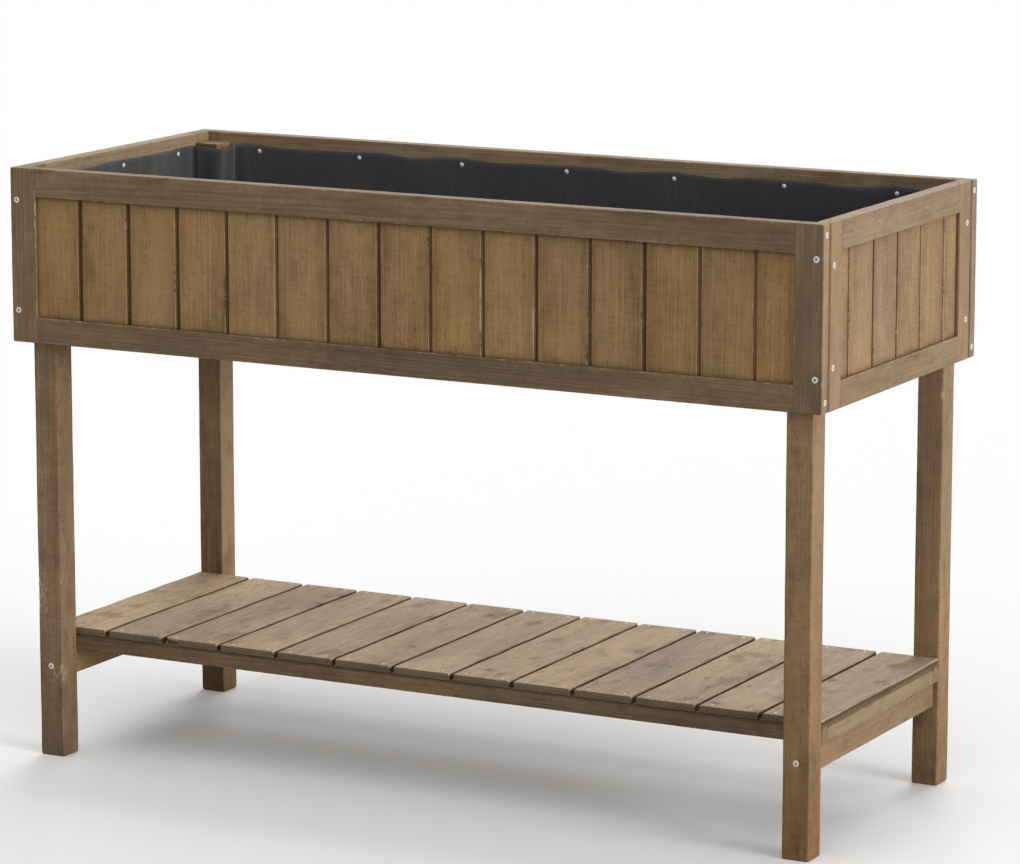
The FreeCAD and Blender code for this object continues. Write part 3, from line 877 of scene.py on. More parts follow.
def put_frame_timber(node, axes, tone, seam=()):
    """Stile or rail of a panel. A rail is grooved between its shoulders and has a stub tenon at each end."""
    rng = seeded(node)
    rail = node.endswith("rail")
    across, depth, along = spans(node, axes)
    tone = tone + rng.uniform(*PANEL_TONE_SPREAD)
    warmth = rng.uniform(*FRAME_WARMTH)
    outline, worn, dirt = grooved_outline(across, depth)
    shoulders = along + rail * TENON_LENGTH * np.array([1, -1])
    # The outer face of the right-hand stiles is paler as painted light from the key
    tones = tone + OUTER_FACE * EDGE_PAINTED_LIGHT.get(node, 0)
    cut = RAIL_CUT if rail else FRAME_CUT
    rubs = FRAME_RUBS.get(node, ())
    shells = [timber(axes, outline, shoulders, cut, rng, tones, warmth, worn, dirt, rubs=rubs, seam=seam)]
    if rail:
        cheeks = depth[0] + FACE_RECESS + np.array([0, BOARD_THICKNESS])
        section = oblong((across[0], across[1] - GROOVE_DEPTH), cheeks)
        for ends in ((along[0], along[0] + GROOVE_DEPTH), (along[1] - GROOVE_DEPTH, along[1])):
            shells.append(timber(axes, section, ends, TENON_CUT, rng, tone, warmth))
    put_piece(f"{node}_timber", shells, "frame_wood", node)


class BED_OT_frames(bpy.types.Operator):
    """Grooved stiles and rails of the four panels"""

    bl_idname = "bed.make_frames"
    bl_label = "Make Panel Frames"

    def execute(self, context):
        """Carry the grooved section along each stile and rail, with its groove toward the boards."""
        for panel, (turn, sides, _) in PANELS.items():
            run, into = panel_axes(turn)
            stile, bottom, top, _ = PANEL_TONES[panel]
            # Each stile's corner at the bed's corner is a seam, darkened as painted shade
            seam = [0] if panel.endswith("end") else [7]
            put_frame_timber(f"{panel}_{sides[0]}_stile", (run, into, Z_AXIS), stile, seam)
            put_frame_timber(f"{panel}_{sides[1]}_stile", (-run, into, Z_AXIS), stile, seam)
            put_frame_timber(f"{panel}_bottom_rail", (Z_AXIS, into, run), bottom)
            put_frame_timber(f"{panel}_top_rail", (-Z_AXIS, into, run), top)
        return {"FINISHED"}


BOARD_WARMTH = {
    "front": (0.53, 0.61),
    "rear": (0.50, 0.60),
    "right_end": (0.36, 0.44),
    "left_end": (0.48, 0.58),
}
# Rubbed arrises of some boards: worn wood that is also a painted highlight along the right arrises of front
# boards, facing the key, and painted light on the joint walls of the right end
BOARD_RUBS_AND_HIGHLIGHTS = {
    ("front", 4): (Rub(3, 0.62, 0.04, 0.45),),
    ("front", 8): (Rub(3, 0.625, 0.065, 1.1),),
    ("front", 9): (Rub(3, 0.612, 0.022, 1.1),),
    ("right_end", 1): (Rub(0, 0.64, 0.20, 0.60),),
    ("right_end", 4): (Rub(0, 0.64, 0.25, 0.70),),
    ("right_end", 5): (Rub(0, 0.64, 0.30, 0.70),),
}

# Boards that are paler or darker than their panel
BOARD_LIFT = {("front", 4): 0.12, ("right_end", 2): 0.06, ("right_end", 4): -0.12}

# How dark the dirt and painted shade in each board joint of a panel is, where the joints differ: one above 1
# also gapes
JOINT_DIRT_AND_SHADE = {
    "front": (1.9, 2.0, 1.6, 1.2, 1.1, 1.1, 1.5, 1.0, 1.1, 1.3, 1.1, 1.3, 1.0, 0.9),
    "right_end": (0.25, 1.0, 0.60, 0.25, 0.15),
}
JOINT_GAPE = 0.9 * MM
JOINT_NUMBERS = np.arange(-9, 10)

# Corners of a board's outline at the edges of its face, how torn they may be, and the share that are torn
FACE_EDGES = [0, 3]
TORN_MOST = 1.6
TORN_SHARE = 0.6

# Darkening on the face of a board by its edges, which fades toward its middle, and painted shadow of the next
# board on the tongue beside its edge, past a lit share of the reveal
EDGE_DARKENING = 0.28
BELLY_SHARE = 0.3
SHADE_SHARE = 0.28


def board_edges(panel, row, shift):
    """Left and right edge of each board of a panel, and how dark the joint before and after it is."""
    joints = shift + BOARD_PITCH * JOINT_NUMBERS
    joints = joints[abs(joints) <= row[1] - TENON_LENGTH - LEAST_STRIP]
    joint_darkness = np.array(JOINT_DIRT_AND_SHADE.get(panel, np.ones(len(joints))))
    half = BOARD_REVEAL / 2 + JOINT_GAPE * np.clip(joint_darkness - 1, 0, 1)
    return zip((row[0], *(joints + half)), (*(joints - half), row[1]), (0, *joint_darkness), (*joint_darkness, 0))


def board_outline(left, right, outer, joint_before, joint_after):
    """Section of a board with a groove on its left and a tongue on its right, darker by its edges.

    joint_before and joint_after are how dark the dirt and painted shade in the joint on each side are, or 0
    with no joint.
    """
    front = outer + FACE_RECESS
    back = front + BOARD_THICKNESS
    core = (front + back) / 2
    tongue = TONGUE_THICKNESS / 2
    groove = tongue + BOARD_FIT
    belly = (right - left) * BELLY_SHARE
    rows = [(left, front, EDGE_DARKENING), (left + belly, front, 0.0), (right - belly, front, 0.0),
            (right, front, EDGE_DARKENING)]
    if joint_after:
        # Past a lit share of the reveal the tongue darkens, as painted shadow of the next board's edge
        shade = right + BOARD_REVEAL * SHADE_SHARE
        tip = right + BOARD_REVEAL + TONGUE_REACH - END_GAP
        rows += [(right, core - tongue, 0.45 * joint_after), (shade, core - tongue, 0.4 * joint_after),
                 (shade + END_GAP, core - tongue, joint_after), (tip, core - tongue, joint_after),
                 (tip, core + tongue, 1.0), (right, core + tongue, 1.0)]
    rows += [(right, back, 0.0), (left, back, 0.0)]
    if joint_before:
        floor = left + TONGUE_REACH
        rows += [(left, core + groove, 1.0), (floor, core + groove, 1.0), (floor, core - groove, 1.0),
                 (left, core - groove, joint_before)]
    worn = [number in FACE_EDGES for number in range(len(rows))]
    return [row[:2] for row in rows], worn, [row[2] for row in rows]


class BED_OT_boards(bpy.types.Operator):
    """Tongued boards that stand in the panel frames"""

    bl_idname = "bed.make_boards"
    bl_label = "Make Panel Boards"

    def execute(self, context):
        """Carry each board's section up from the lower to the upper groove."""
        for panel, (turn, _, shift) in PANELS.items():
            run, into = panel_axes(turn)
            node = f"{panel}_boards"
            outer = span(f"{panel}_bottom_rail", into)[0]
            boards = []
            for number, (left, right, before, after) in enumerate(board_edges(panel, span(node, run), shift)):
                rng = seeded(f"{node}_{number}")
                outline, worn, dirt = board_outline(left, right, outer, before, after)
                torn = np.zeros(len(outline))
                torn[FACE_EDGES] = rng.uniform(0, TORN_MOST, 2) * (rng.random(2) < TORN_SHARE)
                tone = PANEL_TONES[panel][3] + rng.uniform(*PANEL_TONE_SPREAD)
                tone = tone + BOARD_LIFT.get((panel, number), 0)
                warmth = rng.uniform(*BOARD_WARMTH[panel])
                boards.append(timber((run, into, Z_AXIS), outline, span(node, Z_AXIS), BOARD_CUT, rng, tone,
                                     warmth, worn, dirt, torn, TENON_LENGTH,
                                     BOARD_RUBS_AND_HIGHLIGHTS.get((panel, number), ())))
            put_piece(f"{node}_timber", boards, "board_wood", node)
        return {"FINISHED"}


SHELF_TONE = (-0.035, 0.035)
SHELF_WARMTH = (0.48, 0.60)
TOP_CORNERS = [2, 3]

# Axes, cut, lift of the tone, seam and slot of each kind of timber under the slats. The darker lift of the
# rails and cleats is painted shade under the slats, and the seams along the top corners of rails, cleats and
# battens are painted shadow lines under the slats.
SHELF_BARS = {
    "shelf_rail": (ALONG_X, BAR_CUT, -0.31, TOP_CORNERS, "frame_wood"),
    "shelf_cleat": (ALONG_X, BAR_CUT, -0.31, TOP_CORNERS, "frame_wood"),
    "shelf_batten": (ALONG_Y, BAR_CUT, 0.0, TOP_CORNERS, "frame_wood"),
    "shelf_stretcher": (ALONG_Y, STRETCHER_CUT, 0.0, (), "leg_wood"),
}

# Slats: height of the arris above the darkened edge, sway of the edges and its radians per metre, nicked ends
EDGE_BROW = 4.2 * MM
WANEY_EDGE = 0.22 * MM
WANEY_RATES = (18, 75)
NICK_PLACE = 4 * MM
NICK_SPREAD = 5 * MM
NICK_STRENGTH = (0.3, 1.0)

# The broken slat, and how far its missing corner reaches across and along it
BROKEN_SLAT = "shelf_slat_03"
BROKEN_CORNER = (24 * MM, 5 * MM)


def bite(shell, left, front, wide, deep):
    """Shell with its front left corner broken off along a line that slants in from the front."""
    points = shell.points.copy()
    share = np.clip(1 - (points[:, 1] - front) / deep, 0, 1)
    edge = left + wide * share ** 1.6 * (0.9 + 0.1 * np.sin(points[:, 1] * 1900))
    points[:, 0] = np.maximum(points[:, 0], edge - 0.04 * (edge - points[:, 0]))
    return shell._replace(points=points)


def slat(node, tone, warmth):
    """Shelf slat, with its long edges below the arrises darkened as dirt and painted shade of the gaps
    between slats.

    Each long edge sways by a sum of three sines of the place along it.
    """
    (left, right), (low, high), along = spans(node, ALONG_Y)
    brow = high - EDGE_BROW
    outline = [(left, low), (right, low), (right, brow), (right, high), (left, high), (left, brow)]
    worn = [True, True, False, True, True, False]
    # The edges below the arrises and the lower corners darken as painted shade in the gaps and underneath
    dirt = [0.9, 0.9, 2.0, 0.1, 0.1, 2.0]
    rng = seeded(node)
    nick = Rub(3, along[0] + NICK_PLACE, NICK_SPREAD, seeded(f"{node}_nick").uniform(*NICK_STRENGTH))
    made = timber(ALONG_Y, outline, along, SLAT_CUT, rng, tone, warmth, worn, dirt, rubs=(nick,))
    swing = rng.uniform(*WANEY_RATES, (6, 1)) * made.points[:, 1] + rng.uniform(0, 2 * math.pi, (6, 1))
    on_right = 2 * made.points[:, 0] > left + right
    sway = np.where(on_right, np.sin(swing[:3]).sum(axis=0), np.sin(swing[3:]).sum(axis=0))
    made.points[:, 0] += WANEY_EDGE * sway
    return bite(made, left, along[0], *BROKEN_CORNER) if node == BROKEN_SLAT else made


class BED_OT_shelf(bpy.types.Operator):
    """Stretchers, rails, battens, cleats and slats of the shelf"""

    bl_idname = "bed.make_shelf"
    bl_label = "Make Shelf"

    def execute(self, context):
        """Carry a plain section along each timber of the shelf."""
        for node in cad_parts:
            kind = "_".join(node.split("_")[:2])
            rng = seeded(f"{node}_tone")
            tone = 0.5 + rng.uniform(*SHELF_TONE)
            warmth = rng.uniform(*SHELF_WARMTH)
            if kind == "shelf_slat":
                put_piece(f"{node}_timber", [slat(node, tone, warmth)], "shelf_wood", node)
            elif kind in SHELF_BARS:
                axes, cut, lift, seam, slot = SHELF_BARS[kind]
                piece = bar(node, axes, cut, tone + lift, warmth, seam=seam)
                put_piece(f"{node}_timber", [piece], slot, node)
        return {"FINISHED"}


BEARER_TONE = 0.45
FLOOR_TONE = (0.4, 0.6)
LEG_GAP = 1.0 * MM


def floor_row():
    """Left edge of each floor board along the bed, and the width of a board."""
    low, high = span("floor_boards", X_AXIS)
    pitch = (high - low + FLOOR_GAP) / FLOOR_COUNT
    return low + pitch * np.arange(FLOOR_COUNT), pitch - FLOOR_GAP


class BED_OT_floor(bpy.types.Operator):
    """Floor boards with drainage gaps, on two bearers"""

    bl_idname = "bed.make_floor"
    bl_label = "Make Box Floor"

    def execute(self, context):
        """Carry a plain section along each bearer and board, in three lengths where the legs stand."""
        for node in ("floor_bearer_front", "floor_bearer_rear"):
            put_piece(f"{node}_timber", [bar(node, ALONG_X, BAR_CUT, BEARER_TONE)], "floor_wood", node)
        node = "floor_boards"
        _, depth, along = spans(node, ALONG_Y)
        leg_x = span("leg_front_right", X_AXIS)[0] - LEG_GAP
        leg_y = span("leg_rear_right", Y_AXIS)[0] - LEG_GAP
        lefts, width = floor_row()
        boards = []
        for number, left in enumerate(lefts):
            rng = seeded(f"{node}_{number}")
            tone = rng.uniform(*FLOOR_TONE)
            across = np.array([left, left + width])
            lengths = [(across, along, FLOOR_CUT)]
            if number in (0, FLOOR_COUNT - 1):
                clear = np.clip(across, -leg_x, leg_x)
                lengths = [(across, (-leg_y, leg_y), JOINED_FLOOR_CUT),
                           (clear, (along[0], -leg_y), JOINED_FLOOR_CUT),
                           (clear, (leg_y, along[1]), JOINED_FLOOR_CUT)]
            for wide, ends, cut in lengths:
                boards.append(timber(ALONG_Y, oblong(wide, depth), ends, cut, rng, tone))
        put_piece(f"{node}_timber", boards, "floor_wood", node)
        return {"FINISHED"}


TACK_MARGIN = 45.0 * MM
LONG_TACKS = 7
END_TACKS = 3


def tack_places():
    """Places of the tacks on the inner walls, with the direction that each head faces."""
    leg_low, leg_high = BOXES["leg_rear_right"]
    height = np.mean(span("liner_tacks", Z_AXIS))
    long_line = np.linspace(-1, 1, LONG_TACKS) * (leg_low[0] - TACK_MARGIN)
    end_line = np.linspace(-1, 1, END_TACKS) * (leg_low[1] - TACK_MARGIN)
    rows = []
    for side in (-1, 1):
        rows += [((x, side * leg_high[1], height), (0, -side, 0)) for x in long_line]
        rows += [((side * leg_high[0], y, height), (-side, 0, 0)) for y in end_line]
    points, facing = zip(*rows)
    return np.array(points), np.array(facing, float)


# Columns round the liner, and rows on its floor, in the bend at the foot of its walls and up the walls
CLOTH_COLUMNS = 680
FLOOR_ROWS = 24
BEND_ROWS = 5
WALL_ROWS = 30

# How far the cloth keeps off the box and the legs, how soft its corners are, and the round of its bend
CLOTH_OFF_BOX = 0.9 * MM
CLOTH_OFF_LEG = 6.0 * MM
CORNER_SOFTNESS = 9.0 * MM
BEND_RADIUS = 9.0 * MM

# How far a tack holds the cloth along and up the wall, how the cloth bows and sags between tacks, and the
# wave of its upper edge, with its radians per metre
TACK_GRIP_ALONG = 20 * MM
TACK_GRIP_UP = 26 * MM
BOW_REACH = 75 * MM
BOW_DEPTH = 3.2 * MM
BOW_SAG = 2.6 * MM
EDGE_WAVE = 0.8 * MM
EDGE_WAVE_RATE = 61.0

# Pleats beside the legs: how many would go all round, where they are strongest, and how far they reach
PLEATS_ROUND = 104
PLEAT_OFF_LEG = 14 * MM
PLEAT_REACH = 62 * MM

# Folds and ripples of the walls: how many, the range of their turns round the liner, and their lean
WALL_FOLDS = (14, (9, 34), 5.0)
WALL_RIPPLES = (10, (40, 90), 9.0)

# Floor: its lift and its waves, the folds in which it was packed, and its dips at the gaps of the boards
FLOOR_LIFT = 0.4 * MM
FLOOR_WAVE = 2.2 * MM
PACK_FOLDS = np.array([-0.37, -0.13, 0.12, 0.36])
FOLD_RISE = 5.0 * MM
FOLD_WIDTH = 10.0 * MM
GAP_DIP = 0.42 * MM
GAP_REACH = 6 * MM

# Share of the walls' height in the flat cut
CUT_SHARE = 0.94


class Plan(NamedTuple):
    """Line round the liner: its points and inward normals as complex numbers, places on it, its length."""

    line: np.ndarray
    normal: np.ndarray
    run: np.ndarray
    around: float


def cloth_plan(half_x, half_y, leg_x, leg_y):
    """Plan of the liner's walls, from the middle of the right end round the four legs.

    A twelve-sided outline is sampled evenly by its length and rounded by a Gaussian, worked out on its
    Fourier series.
    """
    quarter = [(half_x, leg_y), (leg_x, leg_y), (leg_x, half_y)]
    half = quarter + [(-x, y) for x, y in quarter[::-1]]
    ring = np.array([(half_x, 0.0)] + half + [(x, -y) for x, y in half[::-1]] + [(half_x, 0.0)])
    steps = np.linalg.norm(np.diff(ring, axis=0), axis=1)
    corners = np.concatenate([[0.0], np.cumsum(steps)])
    around = corners[-1]
    run = np.arange(CLOTH_COLUMNS) * around / CLOTH_COLUMNS
    line = np.interp(run, corners, ring[:, 0]) + 1j * np.interp(run, corners, ring[:, 1])
    waves = np.fft.fftfreq(CLOTH_COLUMNS, around / CLOTH_COLUMNS)
    line = np.fft.ifft(np.fft.fft(line) * np.exp(-2 * (math.pi * CORNER_SOFTNESS * waves) ** 2))
    slope = np.fft.ifft(np.fft.fft(line) * 2j * math.pi * waves)
    return Plan(line, 1j * slope / abs(slope), run, around)


def creases(plan, rise, rng, number, spread, lean):
    """Sum of sharp ridges that run mostly up the walls: one less the size of a sine, cubed."""
    turns = np.round(rng.uniform(*spread, number))[:, None, None]
    slant = rng.uniform(-lean, lean, number)[:, None, None]
    phase = rng.uniform(0, math.pi, number)[:, None, None]
    share = rng.uniform(0.3, 1, number)[:, None, None]
    wave = np.sin(math.pi * (turns * plan.run / plan.around * 2 + slant * rise) + phase)
    return np.sum(share * (1 - abs(wave)) ** 3, axis=0) / np.sum(share)


def wall_moves(plan, height, base, sizes):
    """How far the liner's walls move inward and down at each height of each column.

    They move inward by the slack times creases, by pleats beside the legs and by a bow between the tacks,
    and are drawn back to the boards at each tack. Between tacks their upper edge sags.
    """
    rng = seeded("liner")
    share = height / height.max()
    tacks, _ = tack_places()
    spot = tacks[:, 0] + 1j * tacks[:, 1]
    nearest = abs(plan.line - spot[:, None]).argmin(axis=1)
    gap = abs((plan.run - plan.run[nearest][:, None] + plan.around / 2) % plan.around - plan.around / 2)
    lift = (base + height - tacks[0, 2])[None]
    pinned = np.exp(-((gap[:, None] / TACK_GRIP_ALONG) ** 2 + (lift / TACK_GRIP_UP) ** 2)).max(axis=0)
    bow = np.clip(gap.min(axis=0) / BOW_REACH, 0, 1) ** 1.5
    leg_x, leg_y = BOXES["leg_rear_right"][0, :2] - PLEAT_OFF_LEG
    corner = abs(abs(plan.line.real) - leg_x) + abs(abs(plan.line.imag) - leg_y)
    beside = np.exp(-(corner / PLEAT_REACH) ** 2)
    pleats = (0.5 + 0.5 * np.cos(2 * math.pi * plan.run / (plan.around / PLEATS_ROUND) + 2.2 * share)) ** 2
    folds = creases(plan, height, rng, *WALL_FOLDS)
    ripples = creases(plan, height, rng, *WALL_RIPPLES)
    ease = np.sin(math.pi * share ** 0.8) * 0.75 + 0.25 * share
    inward = sizes.cloth_slack * (2.2 * folds + 0.7 * ripples) * ease
    inward = inward + sizes.pleat_depth * beside * pleats * share ** 0.7 * (1 - 0.25 * share)
    inward = inward + BOW_DEPTH * bow * share ** 3
    sag = (BOW_SAG * bow + EDGE_WAVE * np.sin(plan.run * EDGE_WAVE_RATE)) * share ** 4
    return inward * (1 - pinned), sag


def floor_rows(spine, edge, base):
    """Plan and heights of the liner's floor, in rows from its spine out to its edge.

    It rises in low waves and in ridges, exponentials of the distance from the folds in which the cloth was
    packed, and dips at the gaps of the floor boards.
    """
    fraction = np.linspace(0, 1, FLOOR_ROWS + 1)[:-1, None]
    floor = spine * (1 - fraction) + edge * fraction
    x, y = floor.real, floor.imag
    wave = np.sin(x * 31 + 1.3 * np.sin(y * 17))
    cross_wave = np.sin(y * 43 + 2.1 * np.sin(x * 9) + 1.0)
    swell = FLOOR_WAVE * np.clip(wave + cross_wave, 0, 2) ** 2
    packed = np.exp(-abs(x - PACK_FOLDS[:, None, None]) / FOLD_WIDTH).sum(axis=0)
    packed = packed + 0.8 * np.exp(-abs(y) / FOLD_WIDTH)
    swell = swell + FOLD_RISE * packed * (0.7 + 0.3 * cross_wave)
    pitch = floor_row()[1] + FLOOR_GAP
    phase = (x / pitch + FLOOR_COUNT / 2) % 1
    from_gap = pitch * np.minimum(phase, 1 - phase)
    dip = GAP_DIP * np.exp(-(from_gap / GAP_REACH) ** 2) * (1 - fraction ** 6)
    return floor, base + FLOOR_LIFT + swell * (1 - fraction ** 4) - dip


def put_cloth(name, points, quads, flat, thickness):
    """One-sided sheet with its flat cut as its UV map, given its thickness by Solidify."""
    mesh = bpy.data.meshes.new(name)
    mesh.from_pydata(points, [], quads, shade_flat=False)
    mesh.validate()
    layer = mesh.uv_layers.new(name="cut")
    corners = np.empty(len(mesh.loops), np.int32)
    mesh.loops.foreach_get("vertex_index", corners)
    layer.uv.foreach_set("vector", flat[corners].astype(np.float32).ravel())
    piece = hand_over(name, mesh, "liner_fabric", "liner")
    wall = piece.modifiers.new("thickness", "SOLIDIFY")
    wall.thickness = thickness
    wall.offset = 0
    return piece


class BED_OT_liner(bpy.types.Operator):
    """Cloth liner that lies on the floor and is tacked to the walls"""

    bl_idname = "bed.make_liner"
    bl_label = "Make Liner"

    def execute(self, context):
        """Carry a profile of floor, bend and wall round the inside of the box.

        The plan goes round the walls and the legs. Each column starts on the middle line of the floor,
        runs out, turns up in a quarter round and climbs the wall.
        """
        sizes = context.scene.bed_sizes
        low, high = BOXES["liner"]
        base = low[2] + CLOTH_OFF_BOX
        plan = cloth_plan(*(high[:2] - CLOTH_OFF_BOX), *(BOXES["leg_rear_right"][0, :2] - CLOTH_OFF_LEG))
        bend = np.linspace(0, math.pi / 2, BEND_ROWS + 1)
        climb = np.linspace(BEND_RADIUS, high[2] - base, WALL_ROWS + 1)[1:]
        off_wall = np.concatenate([BEND_RADIUS * (1 - np.sin(bend)), np.zeros(WALL_ROWS)])[:, None]
        height = np.concatenate([BEND_RADIUS * (1 - np.cos(bend)), climb])[:, None]
        inward, sag = wall_moves(plan, height, base, sizes)
        wall = plan.line + plan.normal * (off_wall + inward)
        column = np.arange(CLOTH_COLUMNS)
        mirror = np.minimum(column, CLOTH_COLUMNS - column)
        reach = plan.line[0].real - plan.line[CLOTH_COLUMNS // 4].imag
        floor, floor_z = floor_rows(reach * (1 - 4 * mirror / CLOTH_COLUMNS), wall[0], base)

        sheet = np.concatenate([floor, wall])
        upright = np.concatenate([floor_z, base + height - sag])
        points = np.stack([sheet.real, sheet.imag, upright], axis=-1).reshape(-1, 3)
        cut = np.concatenate([floor, plan.line - plan.normal * height * CUT_SHARE])
        flat = np.stack([cut.real, cut.imag], axis=-1).reshape(-1, 2)
        index = np.arange(sheet.size).reshape(sheet.shape)
        index[0] = mirror
        used, quads = np.unique(grid_faces(closed(index)), return_inverse=True)
        quads = quads.reshape(-1, 4)
        cloth = put_cloth("liner_cloth", points[used], quads, flat[used], sizes.cloth_thickness)
        return {"FINISHED"}


def facing_frames(facing, rng):
    """Turned axes for fasteners: the last axis is the direction of each head, the others turn at random."""
    side = np.where(abs(facing[:, 2:]) > 0.5, X_AXIS, Z_AXIS)
    other = np.cross(facing, side)
    turn = rng.uniform(0, math.pi, len(facing))[:, None]
    first = np.cos(turn) * side + np.sin(turn) * other
    return np.stack([first, np.cross(facing, first), facing], axis=1)


def copies(shell, points, facing, rng):
    """The same shell at each place, turned to face each direction."""
    placed = np.einsum("ni,kij->knj", shell.points, facing_frames(facing, rng)) + points[:, None]
    starts = len(shell.points) * np.arange(len(points))
    quads = (shell.quads + starts[:, None, None]).reshape(-1, 4)
    caps = [cap + start for start in starts for cap in shell.caps]
    return Shell(placed.reshape(-1, 3), quads, caps, {})


# Screws: the head's grid turns from square to round beyond the square reach
HEAD_RADIUS = 3.75 * MM
SQUARE_REACH = 2.5 * MM
RECESS_REACH = 2.1 * MM
RECESS_HALF = 0.44 * MM
RECESS_DEPTH = 1.4 * MM
HEAD_EDGE = 0.4 * MM
CONE_DEPTH = 2.4 * MM
SHANK_RADIUS = 2.0 * MM
TIP_LENGTH = 4.0 * MM
TIP_SHARE = 0.1
HALF_LINES = np.array([RECESS_HALF, 0.66 * MM, 1.3 * MM, RECESS_REACH, SQUARE_REACH, 3.2 * MM, HEAD_RADIUS])
SCREW_LINES = np.concatenate([-HALF_LINES[::-1], HALF_LINES])


def screw_shell(reach_down, proud):
    """Countersunk screw along its own last axis, with its head at the top.

    The head is a square grid drawn out to a disc: beyond the recess a point moves from its place in the
    square to the circle of the same reach. Its height falls off as the square of the radius, and drops
    into the cross recess. The edge of the grid carries on down as the cone, the shank and the tip.
    """
    x, y = np.meshgrid(SCREW_LINES, SCREW_LINES)
    reach = np.maximum(abs(x), abs(y))
    draw = np.clip((reach - SQUARE_REACH) / (HEAD_RADIUS - SQUARE_REACH), 0, 1)
    scale = 1 + draw * (reach / np.hypot(x, y) - 1)
    x, y = x * scale, y * scale
    arm = (np.minimum(abs(x), abs(y)) <= RECESS_HALF * 1.01) & (reach <= RECESS_REACH * 1.01)
    dome = proud * (1 - 0.75 * (x * x + y * y) / HEAD_RADIUS ** 2)
    z = dome - arm * RECESS_DEPTH * (1 - 0.45 * reach / RECESS_REACH)
    head = np.stack([x, y, z], axis=-1).reshape(-1, 3)
    index = np.arange(len(head)).reshape(x.shape)
    rim = np.concatenate([index[0, :-1], index[:-1, -1], index[-1, :0:-1], index[:0:-1, 0]])
    shank = SHANK_RADIUS / HEAD_RADIUS
    rings = ((1.0, -HEAD_EDGE), (shank, -CONE_DEPTH), (shank, TIP_LENGTH - reach_down),
             (TIP_SHARE, -reach_down))
    loops = [head[rim] * (part, part, 0) + (0, 0, down) for part, down in rings]
    below = np.arange(len(rings) * len(rim)).reshape(len(rings), -1) + len(head)
    chain = np.concatenate([rim[None], below])
    quads = np.concatenate([grid_faces(index), grid_faces(closed(chain).T)])
    return outward(Shell(np.concatenate([head, *loops]), quads, [chain[-1][::-1]], {}))


def turned_shell(profile, around):
    """Profile of (radius, height) in millimetres turned about the last axis, with both ends capped."""
    radius, height = np.array(profile).T * MM
    angle = np.arange(around) * 2 * math.pi / around
    points = np.stack([radius[:, None] * np.cos(angle), radius[:, None] * np.sin(angle),
                       np.broadcast_to(height[:, None], (len(radius), around))], axis=-1)
    quads, caps = tube_faces(len(radius), around)
    return outward(Shell(points.reshape(-1, 3), quads, caps, {}))


# Places of the screws and nails, as in the part's source
CORNERS = ((-1, -1), (1, -1), (-1, 1), (1, 1))
SCREW_LENGTHS = {
    "frame_screws": 65.0 * MM, "corner_screws": 40.0 * MM, "leg_screws": 45.0 * MM,
    "stretcher_screws": 75.0 * MM, "shelf_screws": 32.0 * MM, "bearer_screws": 32.0 * MM,
}
RAIL_SCREW_INSET = 13.0 * MM
CORNER_SCREW_HEIGHTS = (572 * MM, 710 * MM)
LEG_SCREW_HEIGHTS = (582 * MM, 700 * MM)
LEG_SCREW_INSET = 12.0 * MM
BATTEN_SCREW_PLACE = 90.0 * MM
CLEAT_SLATS = ("shelf_slat_07", "shelf_slat_08")
CLEAT_SCREW_SPREAD = 10.0 * MM
CLEAT_SCREW_RISE = 6.0 * MM
BEARER_SCREW_RISE = 8.0 * MM
NAIL_SPREAD = 25.0 * MM
NAIL_HEAD = 1.7
NAIL_PROFILE = ((0.5, 0.30), (1.25, 0.26), (NAIL_HEAD, 0.05), (NAIL_HEAD, -0.6), (0.9, -0.7), (0.9, -16.5),
                (0.2, -18.0))
TACK_PROFILE = ((0.5, 3.3), (1.5, 3.1), (2.4, 2.75), (3.0, 2.2), (2.9, 1.9), (0.8, 1.8), (0.8, -6.0),
                (0.2, -7.0))


def floor_middles():
    """Middle of each floor board along the bed."""
    lefts, width = floor_row()
    return lefts + width / 2


